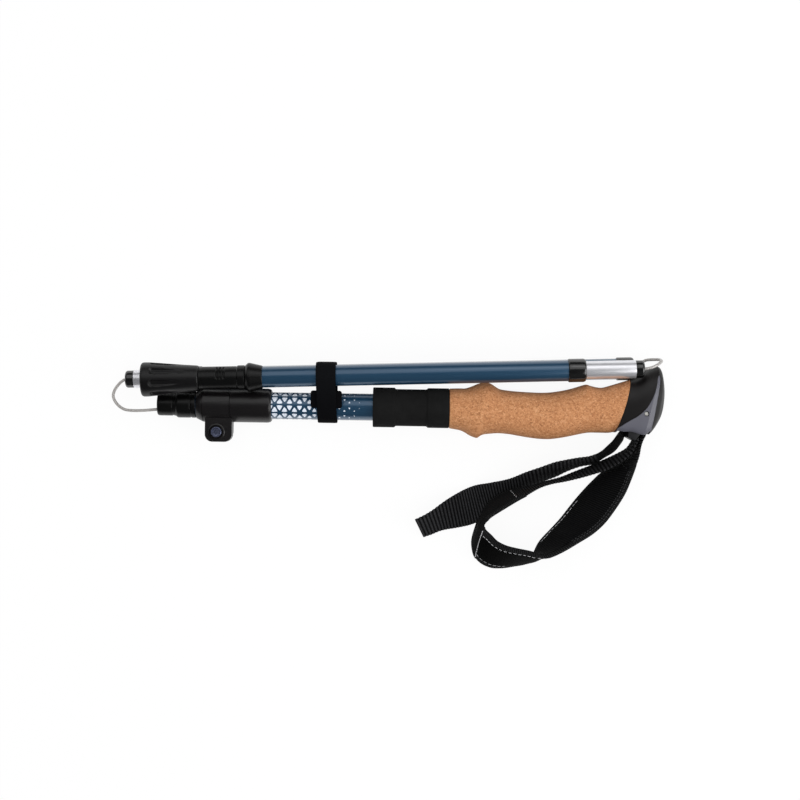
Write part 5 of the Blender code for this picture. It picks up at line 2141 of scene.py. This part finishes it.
# %% Stitches
STITCH_LONG = 2.3
STITCH_WIDE = 0.48
STITCH_PITCH = 3.1
STITCH_LIFT = 0.12
SEAM_STITCHES = 13
SEAM_LIFT = 0.42
HEM_STITCHES = 5
HEM_AT = 176.0


def stitch(work, at, along, out, long=STITCH_LONG, wide=STITCH_WIDE):
    """One capsule of thread."""
    side = out.cross(along).normalized()
    turn = Matrix((along, side, out)).transposed().to_4x4()
    size = Matrix.Diagonal((long, wide, wide, 1.0))
    bmesh.ops.create_uvsphere(
        work,
        u_segments=8,
        v_segments=6,
        radius=0.5,
        matrix=Matrix.Translation(at) @ turn @ size @ Matrix.Rotation(math.pi / 2, 4, "Y"),
    )


def on_pad(s, share, side, height):
    """A place on the pad, with its direction along the pad and out of its face."""
    along = (pad_point(s + 0.3, share) - pad_point(s - 0.3, share)).normalized()
    out = pad_frame(s)[2] * side
    out = (out - along * out.dot(along)).normalized()
    return pad_point(s, share) + out * (PAD_THICK / 2 + height), along, out


def stitch_row(work, first, last, gap, side, pitch=STITCH_PITCH, **size):
    """A row of stitches at a fixed distance from the upper edge, or below 0 from the lower one."""
    for n in range(int((last - first) / pitch)):
        s = first + (n + 0.5) * pitch
        share = gap / pad_width(s) % 1.0
        stitch(work, *on_pad(s, share, side, STITCH_LIFT), **size)


seams = bmesh.new()
stitch_row(seams, 76.0, 134.0, OUTER_TOP + 0.5, -1)
stitch_row(seams, 110.0, 133.2, -OUTER_FOOT - 0.6, -1, pitch=2.9)
stitch_row(seams, 40.0, 82.0, -INNER_FOOT - 0.5, 1, long=2.5, wide=0.5)
for n in range(SEAM_STITCHES):
    share = 0.03 + 0.87 * n / (SEAM_STITCHES - 1)
    at, _, out = on_pad(seam_at(share), share, -1, SEAM_LIFT)
    onward, _, _ = on_pad(seam_at(share + 0.02), share + 0.02, -1, SEAM_LIFT)
    stitch(seams, at, (onward - at).normalized(), out, wide=0.7)
for n in range(HEM_STITCHES):
    at, along, out = on_pad(HEM_AT, 0.08 + 0.16 * n, -1, 0.3)
    stitch(seams, at, out.cross(along), out, long=2.0, wide=0.6)
made = as_object("pad_stitches", seams)
finish_piece(made, ON_TABLE, thread, "handle", ["strap_pad"], sharp=80.0)

inner_seams = bmesh.new()
for gap in (1.3, INNER_TOP + 0.4):
    stitch_row(inner_seams, 8.0, 70.0, gap, 1, pitch=2.2, long=1.5, wide=0.36)
for n in range(HEM_STITCHES):
    at, _, out = on_pad(3.0 + n, 0.8 - 0.14 * n, 1, 0.12 + 0.1 * n)
    onward, _, _ = on_pad(4.0 + n, 0.66 - 0.14 * n, 1, 0.22 + 0.1 * n)
    stitch(inner_seams, at, (onward - at).normalized(), out, long=1.7, wide=0.4)
made = as_object("pad_inner_stitches", inner_seams)
finish_piece(made, ON_TABLE, dark_thread, "handle", ["strap_pad"], sharp=80.0)

# %% [markdown]
# ## The keeper
#
# An elastic band holds the three folded sections together, with a short cross tab on top. The band
# runs round all three tubes on the shortest way, which is the convex outline round three circles.
# The band rides with the handle, so it stays on the handle tube when the pole is opened.

# %% The keeper's path
KEEPER_LOW, KEEPER_HIGH = -55.7, -42.7
KEEPER_SKEW = 0.03
KEEPER_THICK = 1.5
KEEPER_GAP = 0.5
TAB_LOW, TAB_HIGH = -58.8, -38.3
TAB_THICK = 1.5
TAB_HALF = 6.2
TAB_SLOPE = math.radians(25.5)
TAB_SHIFT = 10.0
TAB_CLEAR = 0.2
TAB_PUSH = (-0.2, 0.3)
HALF_TURN_DOTS = 36
KEEPER_STEP = 0.8
KEEPER_LEVEL_AT = 30.0


def hull(points):
    """The convex outline round points, anticlockwise."""
    points = sorted(set(points))

    def half(run):
        out = []
        for p in run:
            while len(out) > 1 and (
                (out[-1][0] - out[-2][0]) * (p[1] - out[-2][1])
                - (out[-1][1] - out[-2][1]) * (p[0] - out[-2][0])
                <= 1e-9
            ):
                out.pop()
            out.append(p)
        return out[:-1]

    return half(points) + half(points[::-1])


tab_along = Vector((math.cos(TAB_SLOPE), math.sin(TAB_SLOPE)))
tab_out = Vector((-math.sin(TAB_SLOPE), math.cos(TAB_SLOPE)))
tab_foot = Vector((0.0, HANDLE_Z)) + tab_out * (TUBE_R + TAB_CLEAR) + tab_along * TAB_SHIFT
middle_x = (KEEPER_LOW + KEEPER_HIGH) / 2
round_these = [
    (0.0, HANDLE_Z, TUBE_R),
    (SECTION_3_Y + middle_x * math.tan(SPLAY), SECTION_3_Z, LOWER_R),
    (SECTION_4_Y + middle_x * math.tan(SPLAY), SECTION_4_Z, LOWER_R),
]
dots = []
for y, z, radius in round_these:
    for k in range(2 * HALF_TURN_DOTS):
        angle = math.pi * k / HALF_TURN_DOTS
        reach = radius + KEEPER_GAP
        dots.append((round(y + reach * math.cos(angle), 4), round(z + reach * math.sin(angle), 4)))
for corner in (-1, 1):
    for high in (0.0, TAB_THICK):
        spot = tab_foot + tab_along * TAB_HALF * corner + tab_out * high
        dots.append((round(spot.x + TAB_PUSH[0], 4), round(spot.y + TAB_PUSH[1], 4)))

# %% The keeper's band
corners = hull(dots)
path = []
for k, corner in enumerate(corners):
    start_at = Vector(corner)
    end_at = Vector(corners[(k + 1) % len(corners)])
    count = max(1, round((end_at - start_at).length / KEEPER_STEP))
    path.extend(start_at.lerp(end_at, n / count) for n in range(count))
outward = []
for k in range(len(path)):
    along = (path[(k + 2) % len(path)] - path[k - 2]).normalized()
    outward.append(Vector((along.y, -along.x)))
KEEPER_AROUND = 20


def keeper_point(i, k):
    at = path[i % len(path)]
    out = outward[i % len(path)]
    angle = 2 * math.pi * k / KEEPER_AROUND
    across = math.copysign(abs(math.cos(angle)) ** 0.25, math.cos(angle))
    rise = math.copysign(abs(math.sin(angle)) ** 0.4, math.sin(angle))
    skew = KEEPER_SKEW * (KEEPER_LEVEL_AT - at.x)
    x = middle_x + (KEEPER_HIGH - KEEPER_LOW) / 2 * across + skew
    spot = at + out * KEEPER_THICK * (0.5 + 0.5 * rise)
    return Vector((x, spot.x, spot.y))


keeper = as_object("elastic_keeper", rolled(len(path), KEEPER_AROUND, keeper_point))
finish_piece(keeper, ON_TABLE, elastic, "handle", ["keeper_strap"], sharp=60.0)
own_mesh(keeper)

# %% The tab
TAB_CORNER = 1.6
tab_outline = []
tab_middle_x = (TAB_LOW + TAB_HIGH) / 2
for quarter, (x, y) in enumerate(((1, 1), (-1, 1), (-1, -1), (1, -1))):
    centre = (
        x * ((TAB_HIGH - TAB_LOW) / 2 - TAB_CORNER),
        y * (TAB_HALF - TAB_CORNER),
    )
    tab_outline += arc(centre, TAB_CORNER, 90 * quarter, 90 * quarter + 90, 15)
tab_matrix = Matrix(
    (
        (1.0, 0.0, 0.0, tab_middle_x),
        (0.0, tab_along.x, tab_out.x, tab_foot.x),
        (0.0, tab_along.y, tab_out.y, tab_foot.y),
        (0.0, 0.0, 0.0, 1.0),
    )
)
tab = as_object(
    "keeper_cross_tab", soften(raised(tab_outline, 0.0, TAB_THICK, turn=tab_matrix), 0.35, 3)
)
finish_piece(tab, ON_TABLE, elastic, "handle", ["keeper_tab"], sharp=60.0)

# %% [markdown]
# ## Inside section 2
#
# A coil spring keeps the cable tight, and pulls on an anchor block inside the telescoping tube. It
# can't be seen in the folded pole, but a part is only reusable when its inside is there too.

# %% The spring and its anchor
SPRING_TURNS = 9
SPRING_R = 4.6
SPRING_WIRE = 0.65
SPRING_LOW, SPRING_HIGH = -51.6, -22.6
TURN_POINTS = 24
coil = []
for k in range(SPRING_TURNS * TURN_POINTS + 1):
    angle = 2 * math.pi * k / TURN_POINTS
    along = SPRING_LOW + (SPRING_HIGH - SPRING_LOW) * k / (SPRING_TURNS * TURN_POINTS)
    coil.append(Vector((along, SPRING_R * math.cos(angle), SPRING_R * math.sin(angle))))
spring = as_object("coiled_spring", tube_along(coil, SPRING_WIRE, sides=10))
finish_piece(spring, HANDLE, steel, "section_2", ["tension_spring"], sharp=60.0)
ANCHOR = [(-62.0, 1.6), (-62.0, 7.1), (-53.0, 7.1), (-53.0, 1.6)]
turned_piece("cord_anchor", ANCHOR, HANDLE, black_plastic, "section_2", 0.4)

# %% [markdown]
# ## The studio
#
# A tube mirrors the room, so its look is decided by the lamps' places. A long soft box and a
# narrower strip stand on the far side and lean over the pole: they make the pale bands along the
# tubes. Straight above is the camera, and it is dark there, which gives the dark line beside each
# band. A weak panel on the near side lifts the shadows, and one beyond the head lights its rounded
# end. A large lamp that doesn't show in reflections lights the cork and the cloth evenly.

# %% The lamps
SUBJECT = Vector((0.0, 0.0, 0.015))


def panel(name, elevation, azimuth, distance, width, height, radiance, mirrored=True, aside=0.0):
    """A soft box that faces the pole, or stands aside. radiance is the brightness of its face."""
    data = bpy.data.lights.new(name, "AREA")
    data.shape = "RECTANGLE"
    data.size = width
    data.size_y = height
    data.energy = radiance * math.pi * width * height
    lamp = bpy.data.objects.new(name, data)
    up = math.radians(elevation)
    round_about = math.radians(azimuth)
    away = Vector(
        (
            math.cos(up) * math.sin(round_about),
            math.cos(up) * math.cos(round_about),
            math.sin(up),
        )
    )
    sideways = Vector((math.cos(round_about), -math.sin(round_about), 0.0))
    lamp.location = SUBJECT + away * distance + sideways * aside
    lamp.rotation_euler = away.to_track_quat("Z", "Y").to_euler()
    lamp.visible_glossy = mirrored
    bpy.context.scene.collection.objects.link(lamp)
    return lamp


panel("far_panel", 52.2, 0.0, 1.3, 3.2, 1.07, 0.85)
panel("far_strip", 49.0, 0.0, 1.3, 1.3, 0.28, 0.85, aside=0.77)
panel("near_panel", 40.0, 180.0, 1.6, 2.6, 1.2, 0.05)
panel("side_panel", 31.0, 101.0, 1.4, 1.0, 1.0, 2.8)
panel("overhead_panel", 78.0, 200.0, 1.6, 1.8, 1.8, 2.1, mirrored=False)

# %% The world and the floor
WORLD_LEVEL = 0.08
WORLD_TINT = (0.94, 0.96, 1.0, 1.0)
FLOOR_HALF = 6.0
FLOOR_WHITE = 0.93

world = bpy.data.worlds.new("studio")
bpy.context.scene.world = world
world.use_nodes = True
room = world.node_tree.nodes["Background"]
room.inputs["Color"].default_value = WORLD_TINT
room.inputs["Strength"].default_value = WORLD_LEVEL

floor_work = bmesh.new()
bmesh.ops.create_grid(floor_work, x_segments=2, y_segments=2, size=FLOOR_HALF)
floor = as_object("floor", floor_work)

floor_finish, tree, shader = new_material("pale_floor", (0.97, 0.97, 0.97), 0.9)
shader.inputs["Specular IOR Level"].default_value = 0.0
shining = add_node(tree, "ShaderNodeEmission", {"Color": (1.0, 1.0, 1.0, 1.0), "Strength": 1.0})
rays = add_node(tree, "ShaderNodeLightPath")
seen = calculate(tree, "MAXIMUM", rays.outputs["Is Camera Ray"], rays.outputs["Is Glossy Ray"])
seen = calculate(tree, "MAXIMUM", seen, rays.outputs["Is Transmission Ray"])
white = calculate(tree, "MULTIPLY", seen, FLOOR_WHITE)
mixed = add_node(tree, "ShaderNodeMixShader")
tree.links.new(white, mixed.inputs["Fac"])
tree.links.new(shader.outputs["BSDF"], mixed.inputs[1])
tree.links.new(shining.outputs["Emission"], mixed.inputs[2])
tree.links.new(mixed.outputs["Shader"], tree.nodes["Material Output"].inputs["Surface"])
floor.data.materials.append(floor_finish)
bpy.context.scene.view_settings.view_transform = "Standard"
